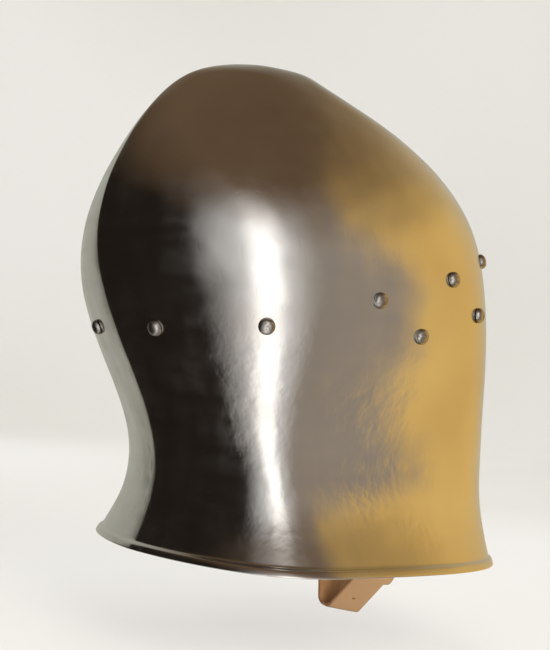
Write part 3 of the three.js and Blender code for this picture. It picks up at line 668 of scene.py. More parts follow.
@dataclass(frozen=True)
class SatinPlate(Finish):
    """Mild steel sheet, planished over stakes and hand polished: a soft mirror with faint strokes and scratches."""

    scratch: float = 0.22

    def paint(self, tree: bpy.types.NodeTree, shader: bpy.types.Node) -> None:
        """Grey steel, a little warmer where it was handled; the strokes of the polishing cloth change the gloss."""
        patches = self.noise(tree, 90, detail=2)
        tone = self.mottled(tree, patches, linear(self.colour), linear(self.second), (0.25, 0.75))
        tree.links.new(tone, shader.inputs["Base Color"])
        strokes = self.noise(tree, 14, (1, 1, 0.22), 4)
        crossing = self.noise(tree, 8, (0.25, 0.25, 1), 4)
        smear = add_node(tree, "ShaderNodeMath", {"operation": "MULTIPLY"}, {0: strokes, 1: crossing}).outputs[0]
        self.dulled(tree, shader, smear, (-0.04, 0.06), (0.14, 0.38))
        # The waist and the flare were raised the most, so their planishing marks are the plainest.
        height = add_node(tree, "ShaderNodeSeparateXYZ", None, {0: self.place(tree)}).outputs["Z"]
        worked: bpy.types.NodeSocket | float = 1.0
        for value, start, end, first, last in (
            (self.noise(tree, 55, detail=1), 0.4, 0.6, 0.15, 1.0),
            (height, -0.281, -0.262, 0.0, 1.0),
            (height, -0.18, -0.12, 1.0, 0.12),
        ):
            share = add_node(
                tree, "ShaderNodeMapRange", None,
                {"Value": value, "From Min": start, "From Max": end, "To Min": first, "To Max": last},
            ).outputs[0]
            worked = add_node(tree, "ShaderNodeMath", {"operation": "MULTIPLY"}, {0: worked, 1: share}).outputs[0]
        layers = [(self.noise(tree, 30, detail=1), 1.0, 0.5)]
        for size, depth in ((9.0, 0.24), (3.4, 0.1)):
            lumps = self.noise(tree, size, (1, 1, 0.85), 1)
            marks = add_node(tree, "ShaderNodeMath", {"operation": "MULTIPLY"}, {0: lumps, 1: worked}).outputs[0]
            layers.append((marks, 1.0, depth))
        # A few scratches of its use, 0.3 mm wide and drawn at twice that so that they show.
        for lean, size in ((52, 2.4), (-38, 2.9)):
            grain = self.noise(tree, size, (1, 1, 0.03), 0, lean)
            groove = add_node(
                tree, "ShaderNodeMapRange", None,
                {"Value": grain, "From Min": 0.74, "From Max": 0.78, "To Min": 1.0, "To Max": 0.0},
            ).outputs[0]
            layers.append((groove, self.scratch, 0.05))
        self.relief(tree, shader, layers)


@dataclass(frozen=True)
class ForgedIron(Finish):
    """Forged steel filed and left dull: the scale in its pits keeps it darker than the plate."""

    pit: float = 0.35

    def paint(self, tree: bpy.types.NodeTree, shader: bpy.types.Node) -> None:
        """Bare metal with darker pits, rougher where it is dark."""
        pits = self.noise(tree, 1.6, detail=4)
        tone = self.mottled(tree, pits, linear(self.second), linear(self.colour), (0.38, 0.62))
        tree.links.new(tone, shader.inputs["Base Color"])
        self.dulled(tree, shader, pits, (0.14, -0.04))
        hammer = self.noise(tree, 3.2, detail=1)
        self.relief(tree, shader, [(hammer, self.pit, 0.12), (pits, self.pit * 0.6, 0.04)])


@dataclass(frozen=True)
class TannedLeather(Finish):
    """Vegetable-tanned cowhide: a fine closed grain outside, suede inside, and cut edges burnished dark."""

    edge: str = "#7a5030"
    flesh: str = "#b39068"
    grain: float = 0.9

    def paint(self, tree: bpy.types.NodeTree, shader: bpy.types.Node) -> None:
        """Tan with cloudy tone; the vertex facts edge and flesh darken the cut edge and give the inside its suede
        colour.
        """
        cloud = self.noise(tree, 14, detail=5)
        tone = self.mottled(tree, cloud, linear(self.colour), linear(self.second))
        inside = add_node(tree, "ShaderNodeAttribute", {"attribute_name": "flesh"}).outputs["Fac"]
        tone = add_node(
            tree, "ShaderNodeMix", {"data_type": "RGBA"}, {0: inside, 6: tone, 7: linear(self.flesh)}
        ).outputs[2]
        rim = add_node(tree, "ShaderNodeAttribute", {"attribute_name": "edge"}).outputs["Fac"]
        tone = self.mottled(tree, rim, tone, linear(self.edge), (0.35, 1.0), 0.85)
        tree.links.new(tone, shader.inputs["Base Color"])
        self.dulled(tree, shader, cloud, (-0.08, 0.08))
        shader.inputs["Specular IOR Level"].default_value = 0.4
        pores = add_node(
            tree, "ShaderNodeTexVoronoi", {"feature": "DISTANCE_TO_EDGE"},
            {"Vector": self.place(tree), "Scale": 1 / (self.grain * MM)},
        ).outputs[0]
        closed = add_node(tree, "ShaderNodeMapRange", None, {"Value": pores, "From Max": 0.25}).outputs[0]
        creases = self.noise(tree, 5, (1, 0.35, 1), 4)
        self.relief(tree, shader, [(creases, 0.25, 0.25), (closed, 0.3, 0.06)])


@dataclass(frozen=True)
class LinenCanvas(Finish):
    """Unbleached linen canvas in plain weave: pale threads over and under, with thicker slubs here and there."""

    thread: float = 1.1
    # Colour of the painted shade in the hollows of the weave.
    painted_hollow_shade: str = "#8f836b"

    def paint(self, tree: bpy.types.NodeTree, shader: bpy.types.Node) -> None:
        """Two crossed sets of threads; the hollows between them get a painted shade."""
        slub = self.noise(tree, 3, (1, 1, 0.3), 3)
        # The threads of such canvas are 0.5 mm apart; they are drawn at twice that so that they show.
        waves = []
        for axis in ("Z", "DIAGONAL"):
            waves.append(
                add_node(
                    tree, "ShaderNodeTexWave", {"wave_type": "BANDS", "bands_direction": axis},
                    {"Vector": self.place(tree), "Scale": math.pi / (self.thread * MM * 10), "Distortion": 1.2,
                     "Detail": 1.0, "Detail Scale": 2.0},
                ).outputs["Fac"]
            )
        weave = add_node(tree, "ShaderNodeMath", {"operation": "MAXIMUM"}, {0: waves[0], 1: waves[1]}).outputs[0]
        cloud = self.noise(tree, 30, detail=4)
        tone = self.mottled(tree, cloud, linear(self.colour), linear(self.second))
        # Painted shade: the hollows between the threads are darkened in the colour itself, by up to 0.45 of the
        # shade colour.
        tone = self.mottled(tree, weave, tone, linear(self.painted_hollow_shade), (0.6, 0.0), 0.45)
        tree.links.new(tone, shader.inputs["Base Color"])
        shader.inputs["Roughness"].default_value = self.roughness
        shader.inputs["Sheen Weight"].default_value = 0.15
        shader.inputs["Specular IOR Level"].default_value = 0.25
        self.relief(tree, shader, [(weave, 0.45, 0.22), (slub, 0.25, 0.2)])


@dataclass(frozen=True)
class WaxedThread(Finish):
    """Linen thread or lace, twisted and waxed: pale fibre with a slight shine on its twist."""

    twist: float = 1.3

    def paint(self, tree: bpy.types.NodeTree, shader: bpy.types.Node) -> None:
        """Pale thread with darker fibres along it."""
        fibre = self.noise(tree, self.twist, (1, 1, 1), 4)
        tone = self.mottled(tree, fibre, linear(self.colour), linear(self.second))
        tree.links.new(tone, shader.inputs["Base Color"])
        shader.inputs["Roughness"].default_value = self.roughness
        self.relief(tree, shader, [(fibre, 0.4, 0.1)])


PLATE = SatinPlate("polished_mild_steel_plate", "steel", "#c3c1bd", "#b5afa8", 0.18, 1.0)
RIVET = ForgedIron("hammered_steel_rivet", "rivet_steel", "#a39e97", "#79736b", 0.3, 1.0, pit=0.25)
IRON = ForgedIron("forged_dull_iron", "iron", "#837c74", "#4c4742", 0.42, 1.0)
STRAP = TannedLeather("vegetable_tanned_strap_leather", "leather", "#c79a6d", "#b3855a", 0.6)
BAND = TannedLeather(
    "thin_lining_leather", "lining_leather", "#8b6240", "#77502f", 0.66, edge="#4c2f1a", flesh="#94714c", grain=1.4
)
CANVAS = LinenCanvas("linen_canvas_padding", "canvas", "#d8cdb4", "#c6b897", 0.92)
LACE = WaxedThread("twisted_linen_lace", "cord", "#d5c8a6", "#b9a77e", 0.85)
THREAD = WaxedThread("waxed_linen_thread", "cord", "#e3d8bd", "#bcae8c", 0.7, twist=0.6)


# The skull


def bezier(corners: Sequence[Sequence[float]], count: int) -> Array:
    """Points of a Bezier curve of any degree: its corners weighted by the Bernstein shares of t."""
    corners = np.asarray(corners, float)
    degree = len(corners) - 1
    t = np.linspace(0, 1, count)[:, None]
    weights = [math.comb(degree, k) * t**k * (1 - t) ** (degree - k) for k in range(degree + 1)]
    return sum(weight * corner for weight, corner in zip(weights, corners))


@dataclass
class Skull:
    """The one-piece skull, with its turned rim and the rolled edge of its T-shaped face opening."""

    plate: float = 2.0
    lip_height: float = 4.5
    roll_radius: float = 2.1
    slit_half: float = 21.0
    slit_waist: float = 17.0
    slit_height: float = 118.0
    eye_outer: float = 50.0
    eye_low: float = 144.0
    eye_high: float = 172.0
    nasal_half: float = 9.0
    nasal_tip: float = 122.0
    columns: int = 400
    rows: int = 132
    inner_rows: int = 56

    def opening(self) -> Array:
        """Outline of the face opening from the front, x and z, from the right foot over the nasal to the left."""
        middle = (self.eye_low + self.eye_high) / 2
        half = (self.eye_high - self.eye_low) / 2
        inner = self.nasal_half + half / 2
        outer, low, high = self.eye_outer, self.eye_low, self.eye_high
        right = np.concatenate([
            bezier([(self.slit_half, 0), (self.slit_waist, self.slit_height * 0.8)], 40)[:-1],
            bezier([(self.slit_waist, self.slit_height * 0.8), (self.slit_waist, self.slit_height),
                    (self.slit_waist + half, low - half / 3), (outer - half, low)], 24)[:-1],
            bezier([(outer - half, low), (outer - half / 2, low + half / 4), (outer, middle - half / 2),
                    (outer, middle)], 16)[:-1],
            bezier([(outer, middle), (outer, high - half / 4), (outer - half, high),
                    (inner + half / 2, high)], 20)[:-1],
            bezier([(inner + half / 2, high), (inner - half / 3, high), (self.nasal_half, high - half / 3),
                    (self.nasal_half, middle)], 16)[:-1],
            bezier([(self.nasal_half, middle),
                    (self.nasal_half * 0.72, self.nasal_tip + self.nasal_half)], 14)[:-1],
            bezier([(self.nasal_half * 0.72, self.nasal_tip + self.nasal_half),
                    (self.nasal_half * 0.6, self.nasal_tip), (0, self.nasal_tip)], 10),
        ])
        left = right[:-1][::-1] * np.array([-1, 1])
        return np.concatenate([right, left])

    def shell(self) -> tuple[Array, list[list[int]]]:
        """The plate: lip rows, then the skin with a faint unevenness from the hammer, then the inner skin."""
        u = np.linspace(0, 2 * np.pi, self.columns, endpoint=False)
        # Columns are denser on the centre line and at the sides, where the superellipse bends fastest.
        turn = u - 0.8 * np.sin(4 * u) / 4
        heights = np.array([0, 0.08, 0.3, 0.65, 1.1, 1.9, 2.9, 3.6, 4.1, 4.45, 4.75, 5.2])
        reaches = np.array([0.9, 1.3, 1.58, 1.74, 1.8, 1.8, 1.76, 1.6, 1.2, 0.6, 0.2, 0])
        level = SKIN.level_at(heights)[:, None]
        flat = SKIN.outward(level, turn[None])
        flat[..., 2] = 0
        lip = SKIN.outer(level, turn[None]) + unit(flat) * reaches[:, None, None]
        up = np.linspace(float(SKIN.level_at(6.2)), 0.9985, self.rows)[:, None]
        skin = SKIN.outer(up, turn[None])
        fade = np.clip((skin[..., 2:] - 8) / 30, 0, 1) * np.clip((1 - up[..., None]) / 0.1, 0, 1)
        uneven = 0.11 * undulation(skin, 38, 3) + 0.22 * undulation(skin, 105, 8)
        skin = skin + SKIN.outward(up, turn[None]) * uneven[..., None] * fade
        down = np.linspace(0.9985, 0, self.inner_rows)[:, None]
        inside = SKIN.point(down, turn[None], np.full(down.shape, self.plate))
        inside[-1, :, 2] = 0
        rings = np.concatenate([lip, skin, inside])
        points = rings.reshape(-1, 3)
        quads = grid_quads(len(rings), self.columns, wrap_rows=True, wrap_columns=True)
        crown = len(heights) + self.rows - 1
        keep = quads[:, 0] // self.columns != crown
        quads = quads[keep]
        tops = np.array([SKIN.outer(np.array(1.0), np.array(0.0)), SKIN.outer(np.array(1.0), np.array(0.0))])
        tops[1, 2] -= self.plate
        k = np.arange(self.columns)
        after = (k + 1) % self.columns
        apex = len(points)
        above = crown * self.columns
        outer_fan = np.stack([above + k, above + after, np.full_like(k, apex)], axis=1)
        below = (crown + 1) * self.columns
        inner_fan = np.stack([below + after, below + k, np.full_like(k, apex + 1)], axis=1)
        return np.concatenate([points, tops]), quads.tolist() + outer_fan.tolist() + inner_fan.tolist()

    def roll(self) -> tuple[Array, list[list[int]]]:
        """The rolled edge: a round section carried along the opening's outline over the middle of the plate."""
        outline = resampled(self.opening(), 1.4)
        level = SKIN.level_at(outline[:, 1])
        turn = SKIN.front_turn(level, outline[:, 0])
        centre = SKIN.point(level, turn, np.full(level.shape, self.plate / 2))
        ahead = unit(np.gradient(centre, axis=0))
        out = squared(SKIN.outward(level, turn), ahead)
        section = circle(14)[:, ::-1] * self.roll_radius
        beat = 1 + 0.025 * undulation(centre, 16, 21)
        points, faces = swept(centre, np.cross(ahead, out), out, section[None] * beat[:, None, None])
        points[:, 2] = np.maximum(points[:, 2], 0.02)
        points[:len(section), 2] = 0.0
        points[-len(section):, 2] = 0.0
        return points, faces

    def build(self) -> None:
        """The plate with its opening cut, and the rolled edge."""
        points, faces = self.shell()
        plate = piece("skull_plate", points, faces, PLATE, Body.HELMET)
        outline = self.opening()
        foot = np.array([[-self.slit_half, -self.lip_height * 2], [self.slit_half, -self.lip_height * 2]])
        combine(plate, *prism(np.concatenate([foot, outline]), -SKIN.brow_reach * 2, 0.0, 1), Join.CUT)
        dressed(plate, PLATE, Body.HELMET, ["skull_shell"])
        points, faces = self.roll()
        piece("face_opening_roll", points, faces, PLATE, Body.HELMET, ["skull_shell"])


# Rivets and washers


@dataclass(frozen=True)
class Seat:
    """Where a rivet stands: its node, the point under its head, the way out, and the grip and head sizes."""

    node: str
    at: tuple[float, float, float]
    out: tuple[float, float, float]
    grip: float
    washer_depth: float
    head_radius: float
    head_height: float


@dataclass
class Fasteners:
    """Domed rivets set from outside, each clenched over a washer, in rows that the two sides share."""

    lining_turns: tuple[float, ...] = (0.084, 0.354, 0.525, 0.638, 0.799, 1)
    lining_levels: tuple[float, ...] = (0.286, 0.295, 0.343, 0.388, 0.433, 0.46)
    strap_turns: tuple[float, ...] = (0.581, 0.721)
    strap_levels: tuple[float, ...] = (0.3, 0.341)
    head_radius: float = 4.7
    head_height: float = 3.6
    shank_radius: float = 1.9
    tail_radius: float = 3.1
    tail_height: float = 1.3
    washer_radius: float = 5.2
    washer_thickness: float = 1.0
    running_gap: float = 0.3
    lining_washer: float = 7.2
    strap_washer: float = 7.6
    pivot_grip: float = 6.8
    pivot_washer: float = 6.5
    sides: int = 32
    pivot: tuple[float, float, float] = (79.4, -60.0, 92.0)

    def row(self, name: str, turns: Sequence[float], levels: Sequence[float], depth: float) -> list[Seat]:
        """Seats of a row and its mirror image, in the order of the nodes' numbers."""
        at = [(turn * math.pi, level) for turn, level in zip(turns, levels)]
        at += [(-turn, level) for turn, level in at if turn < math.pi * 0.999]
        seats = []
        for number, (turn, level) in enumerate(at, 1):
            out = SKIN.outward(np.array(level), np.array(turn))
            seat = SKIN.outer(np.array(level), np.array(turn)) + out * self.running_gap
            grip = depth + self.running_gap * 2
            seats.append(Seat(f"{name}_{number}", tuple(seat), tuple(out), grip, depth + self.running_gap,
                              self.head_radius, self.head_height))
        return seats

    def seats(self) -> list[Seat]:
        """Every seat: the lining's row, the hangers' pairs, and the two pivots of the chin strap."""
        seats = self.row("lining_rivet", self.lining_turns, self.lining_levels, self.lining_washer)
        seats += self.row("strap_rivet", self.strap_turns, self.strap_levels, self.strap_washer)
        for sign, side in ((-1, "right"), (1, "left")):
            at = (sign * self.pivot[0], self.pivot[1], self.pivot[2])
            seats.append(Seat(f"strap_pivot_{side}", at, (sign, 0, 0), self.pivot_grip,
                              self.pivot_washer, self.head_radius * 0.85, self.head_height * 0.45))
        return seats

    def head(self, seat: Seat, seed: int) -> tuple[Array, list[list[int]]]:
        """Head, shank and clenched tail turned about the seat; the dome is nudged by a faint unevenness."""
        rise = np.linspace(0, np.pi / 2, 10)
        radius, height = seat.head_radius, seat.head_height
        dome = np.stack([radius * np.cos(rise) ** 0.82, 0.25 + (height - 0.25) * np.sin(rise) ** 0.95], axis=1)
        dome[-1, 0] = 0.12
        skirt = np.array([[self.shank_radius, 0.0], [radius * 0.97, 0.0], [radius, 0.12]])
        fall = np.linspace(0, np.pi / 2, 6)
        tail = np.stack([
            self.tail_radius * np.sin(fall[::-1]) ** 0.6, -seat.grip - self.tail_height * np.cos(fall[::-1]) ** 1.2
        ], axis=1)[::-1]
        tail[0, 0] = 0.12
        shank = np.array([[self.tail_radius * 0.97, -seat.grip], [self.shank_radius, -seat.grip]])
        profile = np.concatenate([tail, shank, skirt, dome])
        points = turned_points(profile, self.sides, np.array(seat.at), np.array(seat.out))
        outward_share = np.repeat(np.clip(profile[:, 1] / height, 0, 1), self.sides)[:, None]
        struck = undulation(points, 5.5, seed)[:, None] * 0.09 * outward_share
        points = points + np.array(seat.out) * struck
        below = np.clip((-seat.grip - profile[:, 1]) / self.tail_height, 0, 1)
        tail_share = np.repeat(below, self.sides)[:, None]
        points = points + np.array(seat.out) * undulation(points, 3.5, seed + 50)[:, None] * 0.12 * tail_share
        return points, tube_faces(len(profile), self.sides)

    def washer(self, seat: Seat) -> tuple[Array, list[list[int]]]:
        """A washer with broken edges, turned about the same axis."""
        bore, rim, thick = self.shank_radius + 0.3, self.washer_radius, self.washer_thickness
        foot = -seat.washer_depth
        profile = np.array([
            [bore, foot + 0.1], [bore + 0.15, foot], [rim - 0.25, foot], [rim, foot + 0.25],
            [rim, foot + thick - 0.25], [rim - 0.25, foot + thick],
            [bore + 0.15, foot + thick], [bore, foot + thick - 0.1],
        ])
        points = turned_points(profile, self.sides, np.array(seat.at), np.array(seat.out))
        return points, tube_faces(len(profile), self.sides, is_loop=True)

    def build(self) -> None:
        """One piece for each rivet and one for each washer."""
        for number, seat in enumerate(self.seats()):
            points, faces = self.head(seat, 100 + number)
            piece(f"{seat.node}_head", points, faces, RIVET, Body.HELMET, [seat.node])
            points, faces = self.washer(seat)
            piece(f"{seat.node}_ring", points, faces, IRON, Body.HELMET, [f"{seat.node}_washer"])


# The lining


@dataclass
class Lining:
    """A leather band riveted round the skull, eight quilted canvas leaves above it, and the lace in their tips."""

    rivets: Fasteners = field(default_factory=Fasteners)
    band_height: float = 20.0
    band_thickness: float = 2.4
    band_depth: float = 2.8
    leaf_count: int = 8
    leaf_depth: float = 3.4
    leaf_thickness: float = 5.0
    leaf_swell: float = 6.0
    leaf_gap: float = 3.0
    leaf_foot: float = 11.5
    leaf_top: float = 0.82
    lace_radius: float = 1.6
    voxel: float = 3.6
    most_swell: float = 2.2
    seam_margin: float = 2.6
    thread_radius: float = 0.42
    channels: tuple[float, ...] = (-0.5, 0.0, 0.5)
    whip_count: int = 150
    band_columns: int = 420

    def __post_init__(self) -> None:
        """The band's middle line: a spline through the rivets of both sides."""
        turns = [share * math.pi for share in self.rivets.lining_turns]
        levels = list(self.rivets.lining_levels)
        knots = [-turns[1], -turns[0]] + turns + [2 * math.pi - turns[4], 2 * math.pi - turns[3]]
        values = [levels[1], levels[0]] + levels + [levels[4], levels[3]]
        self._line = natural_spline(knots, values)

    def band_level(self, turn: Array) -> Array:
        """Level of the band's middle at a turn, the same on both sides."""
        return self._line(np.abs(np.mod(turn + np.pi, 2 * np.pi) - np.pi))

    def level_step(self, level: Array, turn: Array, length: Array | float) -> Array:
        """How far the level runs for a length up the skin."""
        step = 0.002
        rise = np.linalg.norm(SKIN.outer(level + step, turn) - SKIN.outer(level - step, turn), axis=-1)
        return length * 2 * step / rise

    def band(self) -> None:
        """The band: a strap's section laid on the skin along the row of rivets, pressed in under each washer."""
        turn = np.linspace(0, 2 * np.pi, self.band_columns, endpoint=False)[:, None]
        section = strap_section(self.band_height, self.band_thickness, 0.9, 15)
        level = self.band_level(turn)
        place = level + self.level_step(level, turn, section[None, :, 0])
        depth = self.band_depth + self.band_thickness / 2 - section[None, :, 1]
        depth = depth + 0.12 * undulation(SKIN.outer(place, turn), 24, 31)
        points = SKIN.point(place, turn, np.maximum(depth, self.band_depth - 0.35))
        inner = section[:, 1] < 0
        rivets = self.rivets
        for seat in rivets.row("lining_rivet", rivets.lining_turns, rivets.lining_levels, rivets.lining_washer):
            away = np.linalg.norm(points - (np.array(seat.at) - np.array(seat.out) * 5.5), axis=-1)
            press = 0.35 * np.exp(-((away / 6.2) ** 4)) * inner[None]
            points = points + np.array(seat.out) * press[..., None]
        faces = grid_quads(self.band_columns, len(section), wrap_rows=True, wrap_columns=True)
        facts = strap_facts(section, self.band_height, self.band_columns)
        facts["flesh"] = 1 - facts["flesh"]
        piece("lining_band_leather", points.reshape(-1, 3), faces, BAND, Body.HELMET, ["lining_band"], facts)

    def band_seams(self) -> None:
        """Two rows of stitches on the band's inner face."""
        turn = np.linspace(0, 2 * np.pi, 500)
        parts = []
        for height in (self.seam_margin - self.band_height / 2, self.band_height / 2 - self.seam_margin):
            level = self.band_level(turn)
            place = level + self.level_step(level, turn, height)
            path = SKIN.point(place, turn, np.full(turn.shape, self.band_depth + self.band_thickness - 0.05))
            parts.append(stitch_row(path, -SKIN.outward(place, turn), 4.6, self.thread_radius))
        points, faces = merged(parts)
        piece("lining_band_stitches", points, faces, THREAD, Body.HELMET, ["lining_band"])

    def whip_seam(self) -> None:
        """Slanting thread that joins each leaf's foot to the band: short arcs from the band up into the leaf."""
        at = (np.arange(self.whip_count) + 0.5) / self.whip_count * 2 * np.pi
        share = np.linspace(0, 1, 7)
        turn = at[:, None] + (share[None] - 0.5) * 0.012
        length = self.band_height / 2 - 2.0 + share[None] * 7.0
        level = self.band_level(turn)
        place = level + self.level_step(level, turn, length)
        depth = self.band_depth + self.band_thickness + np.array([-0.7, 0.4, 0.75, 1.0, 1.6, 2.2, 1.2])[None]
        centre = SKIN.point(place, turn, np.broadcast_to(depth, place.shape))
        out = SKIN.outward(place, turn)
        ahead = unit(np.gradient(centre, axis=1))
        beside = np.cross(ahead, out)
        up = np.cross(beside, ahead)
        points, faces = short_threads(centre, beside, up, np.full(len(share), 0.45))
        piece("lining_whip_seam", points, faces, THREAD, Body.HELMET, [f"lining_leaf_{n + 1}" for n in range(8)])

    def leaf_surface(self, middle: float, columns: int, rows: int, slim: float) -> tuple[Array, list[list[int]]]:
        """One leaf as a closed pad: a flat outer sheet and an inner one that swells between its edges.

        Args:
            middle: Turn of the leaf's middle line.
            columns: Cells across.
            rows: Cells up.
            slim: Length taken off each edge before it swells.

        Returns:
            Points and faces.
        """
        half = math.pi / self.leaf_count
        up = np.linspace(0, 1, rows + 1)[:, None]
        across = np.linspace(-1, 1, columns + 1)[None]
        tip = np.sqrt(np.maximum(1 - np.maximum(up - 0.75, 0) ** 2 * 12, 0.2))
        around = middle + across * half
        foot_level = self.band_level(around)
        foot = foot_level + self.level_step(foot_level, around, self.leaf_foot + slim)
        level = foot + (self.leaf_top - 0.006 * slim - foot) * up
        girth = np.linalg.norm(SKIN.outer(level, middle + half) - SKIN.outer(level, middle - half), axis=-1)
        turn = middle + across * (half - (self.leaf_gap + slim) / girth * half) * tip
        swell = self.leaf_swell * (1 - across**4) * np.sin(np.pi * np.minimum(up * 0.9 + 0.08, 1))
        outer = SKIN.point(level, turn, np.full(level.shape, self.leaf_depth + 0.3))
        inner = SKIN.point(level, turn, self.leaf_depth + self.leaf_thickness / 2 + swell * 0.82)
        wide = columns + 1
        total = (rows + 1) * wide
        sheet = grid_quads(rows + 1, wide)
        edge = np.concatenate([
            np.arange(columns), np.arange(rows) * wide + columns, (rows * wide + np.arange(columns + 1))[::-1][:-1],
            (np.arange(rows + 1) * wide)[::-1][:-1],
        ])
        after = np.roll(edge, -1)
        side = np.stack([edge, edge + total, after + total, after], axis=1)
        faces = np.concatenate([sheet[:, ::-1], sheet + total, side[:, ::-1]])
        return np.concatenate([outer.reshape(-1, 3), inner.reshape(-1, 3)]), faces.tolist()

    def leaf(self, number: int) -> None:
        """One leaf: swollen by a short cloth simulation, kept off the plate, then its quilting channels sewn in."""
        half = math.pi / self.leaf_count
        middle = (number + 0.5) * 2 * half
        points, faces = self.leaf_surface(middle, 26, 34, 0.9)
        obj = piece(f"lining_leaf_{number + 1}_pad", points, faces, CANVAS, Body.HELMET)
        change = obj.modifiers.new("remesh", "REMESH")
        change.mode, change.voxel_size = "VOXEL", self.voxel * MM
        evaluated(obj)
        start = coordinates(obj)
        swell_as_cloth(obj, 3.0)
        moved = coordinates(obj) - start
        length = np.linalg.norm(moved, axis=1, keepdims=True)
        moved *= np.minimum(1, self.most_swell / np.maximum(length, 1e-9))
        set_coordinates(obj, start + moved)
        change = obj.modifiers.new("smooth", "SUBSURF")
        change.levels = change.render_levels = 2
        evaluated(obj)
        now = coordinates(obj)
        level, turn, depth = locate(now)
        side = (np.mod(turn - middle + np.pi, 2 * np.pi) - np.pi) / half
        # Channels: three seams up the leaf and its stitched border, each a narrow valley on the inner face.
        girth = np.linalg.norm(SKIN.outer(level, middle + half) - SKIN.outer(level, middle - half), axis=-1)
        across = side * girth / 2
        seams = np.stack([across - place * girth / 2 for place in self.channels])
        valley = np.exp(-((np.abs(seams).min(axis=0) / 2.0) ** 2)) * np.clip((self.leaf_top - level) / 0.12, 0, 1)
        inner = np.clip((depth - 5.2) / 2.5, 0, 1)
        puckers = 1 + 0.25 * np.cos(level * self.rise(middle) * 2 * np.pi / 5.2)
        depth = depth - valley * inner * 2.3 * puckers + inner * 0.28 * undulation(now, 13, 60 + number)
        depth = np.maximum(depth, self.leaf_depth - 0.5)
        set_coordinates(obj, SKIN.point(level, turn, depth))
        dressed(obj, CANVAS, Body.HELMET, [f"lining_leaf_{number + 1}"])

    def rise(self, turn: float) -> float:
        """Length up the skin for one whole level at a turn, in millimetres."""
        low, high = SKIN.outer(np.array([0.5, 0.6]), np.array([turn, turn]))
        return float(np.linalg.norm(high - low)) * 10

    def leaf_stitches(self, number: int) -> tuple[Array, Array]:
        """Stitches along the three channels of a leaf, in the bottom of the valleys."""
        half = math.pi / self.leaf_count
        middle = (number + 0.5) * 2 * half
        level = np.linspace(float(self.band_level(np.array(middle))) + 0.075, self.leaf_top - 0.075, 60)
        parts = []
        for place in self.channels:
            turn = middle + place * half + np.zeros_like(level)
            swell = self.leaf_swell * (1 - place**4) * 0.82
            shape = np.sin(np.pi * np.clip((level - level[0]) / (level[-1] - level[0]) * 0.8 + 0.1, 0, 1))
            depth = self.leaf_depth + self.leaf_thickness / 2 + swell * shape - 1.9
            parts.append(stitch_row(SKIN.point(level, turn, depth), -SKIN.outward(level, turn), 5.2, 0.4))
        return merged(parts)

    def lace(self) -> None:
        """The gathering lace: two strands wound round each other along a ring at the leaves' tips."""
        turn = np.linspace(0, 2 * np.pi, 540, endpoint=False)
        depth = self.leaf_depth + self.leaf_thickness / 2 + self.leaf_swell * 0.34 + self.lace_radius
        level = np.full(turn.shape, self.leaf_top - 0.03)
        centre = SKIN.point(level, turn, np.full(turn.shape, depth))
        ahead = unit(np.roll(centre, -1, axis=0) - np.roll(centre, 1, axis=0))
        out = squared(SKIN.outward(level, turn), ahead)
        beside = np.cross(ahead, out)
        section = circle(8) * self.lace_radius * 0.56
        parts = []
        for strand in (0, np.pi):
            wind = (turn * 34 + strand)[:, None]
            path = centre + (out * np.cos(wind) + beside * np.sin(wind)) * self.lace_radius * 0.46
            parts.append(swept(path, beside, out, section, is_loop=True))
        points, faces = merged(parts)
        piece("crown_lace_twist", points, faces, LACE, Body.HELMET, ["crown_lace"])

    def build(self) -> None:
        """Band, seams, leaves with their stitches, and the lace."""
        self.band()
        self.band_seams()
        stitches = []
        for number in range(self.leaf_count):
            self.leaf(number)
            stitches.append(self.leaf_stitches(number))
        points, faces = merged(stitches)
        nodes = [f"lining_leaf_{number + 1}" for number in range(self.leaf_count)]
        piece("lining_leaf_stitches", points, faces, THREAD, Body.HELMET, nodes)
        self.whip_seam()
        self.lace()


def coordinates(obj: bpy.types.Object) -> Array:
    """An object's vertices in millimetres in the helmet's frame."""
    values = np.empty(len(obj.data.vertices) * 3)
    obj.data.vertices.foreach_get("co", values)
    return values.reshape(-1, 3) / MM + SKIN.origin()


def set_coordinates(obj: bpy.types.Object, points: Array) -> None:
    """Gives an object its vertices from millimetres in the helmet's frame."""
    obj.data.vertices.foreach_set("co", SKIN.to_frame(points).ravel())
    obj.data.update()


def locate(points: Array) -> tuple[Array, Array, Array]:
    """Level, turn and depth of points near the skin: a start from the superellipse, then steps along the slopes.

    Args:
        points: Places in millimetres.

    Returns:
        Level, turn and depth inside the skin for each point.
    """
    level = np.clip(SKIN.level_at(points[:, 2] + 3), 0.01, 0.97)
    middle, side, back, front = SKIN.sizes_at(level)
    is_back = points[:, 1] > middle
    power = SKIN.power_at(level, is_back) / 2
    across = np.sign(-points[:, 0]) * np.abs(points[:, 0] / side) ** power
    along = (points[:, 1] - middle) / np.where(is_back, back, front)
    turn = np.arctan2(across, np.sign(along) * np.abs(along) ** power)
    step = 0.001
    for _ in range(9):
        at = SKIN.outer(level, turn)
        up = (SKIN.outer(level + step, turn) - at) / step
        around = (SKIN.outer(level, turn + step) - at) / step
        miss = points - at
        a, b, c = (up * up).sum(1), (up * around).sum(1), (around * around).sum(1)
        p, q = (miss * up).sum(1), (miss * around).sum(1)
        whole = np.maximum(a * c - b * b, 1e-9)
        level = np.clip(level + np.clip((p * c - q * b) / whole, -0.04, 0.04), 0.005, 0.985)
        turn = turn + np.clip((q * a - p * b) / whole, -0.1, 0.1)
    depth = -((points - SKIN.outer(level, turn)) * SKIN.outward(level, turn)).sum(1)
    return level, turn, depth


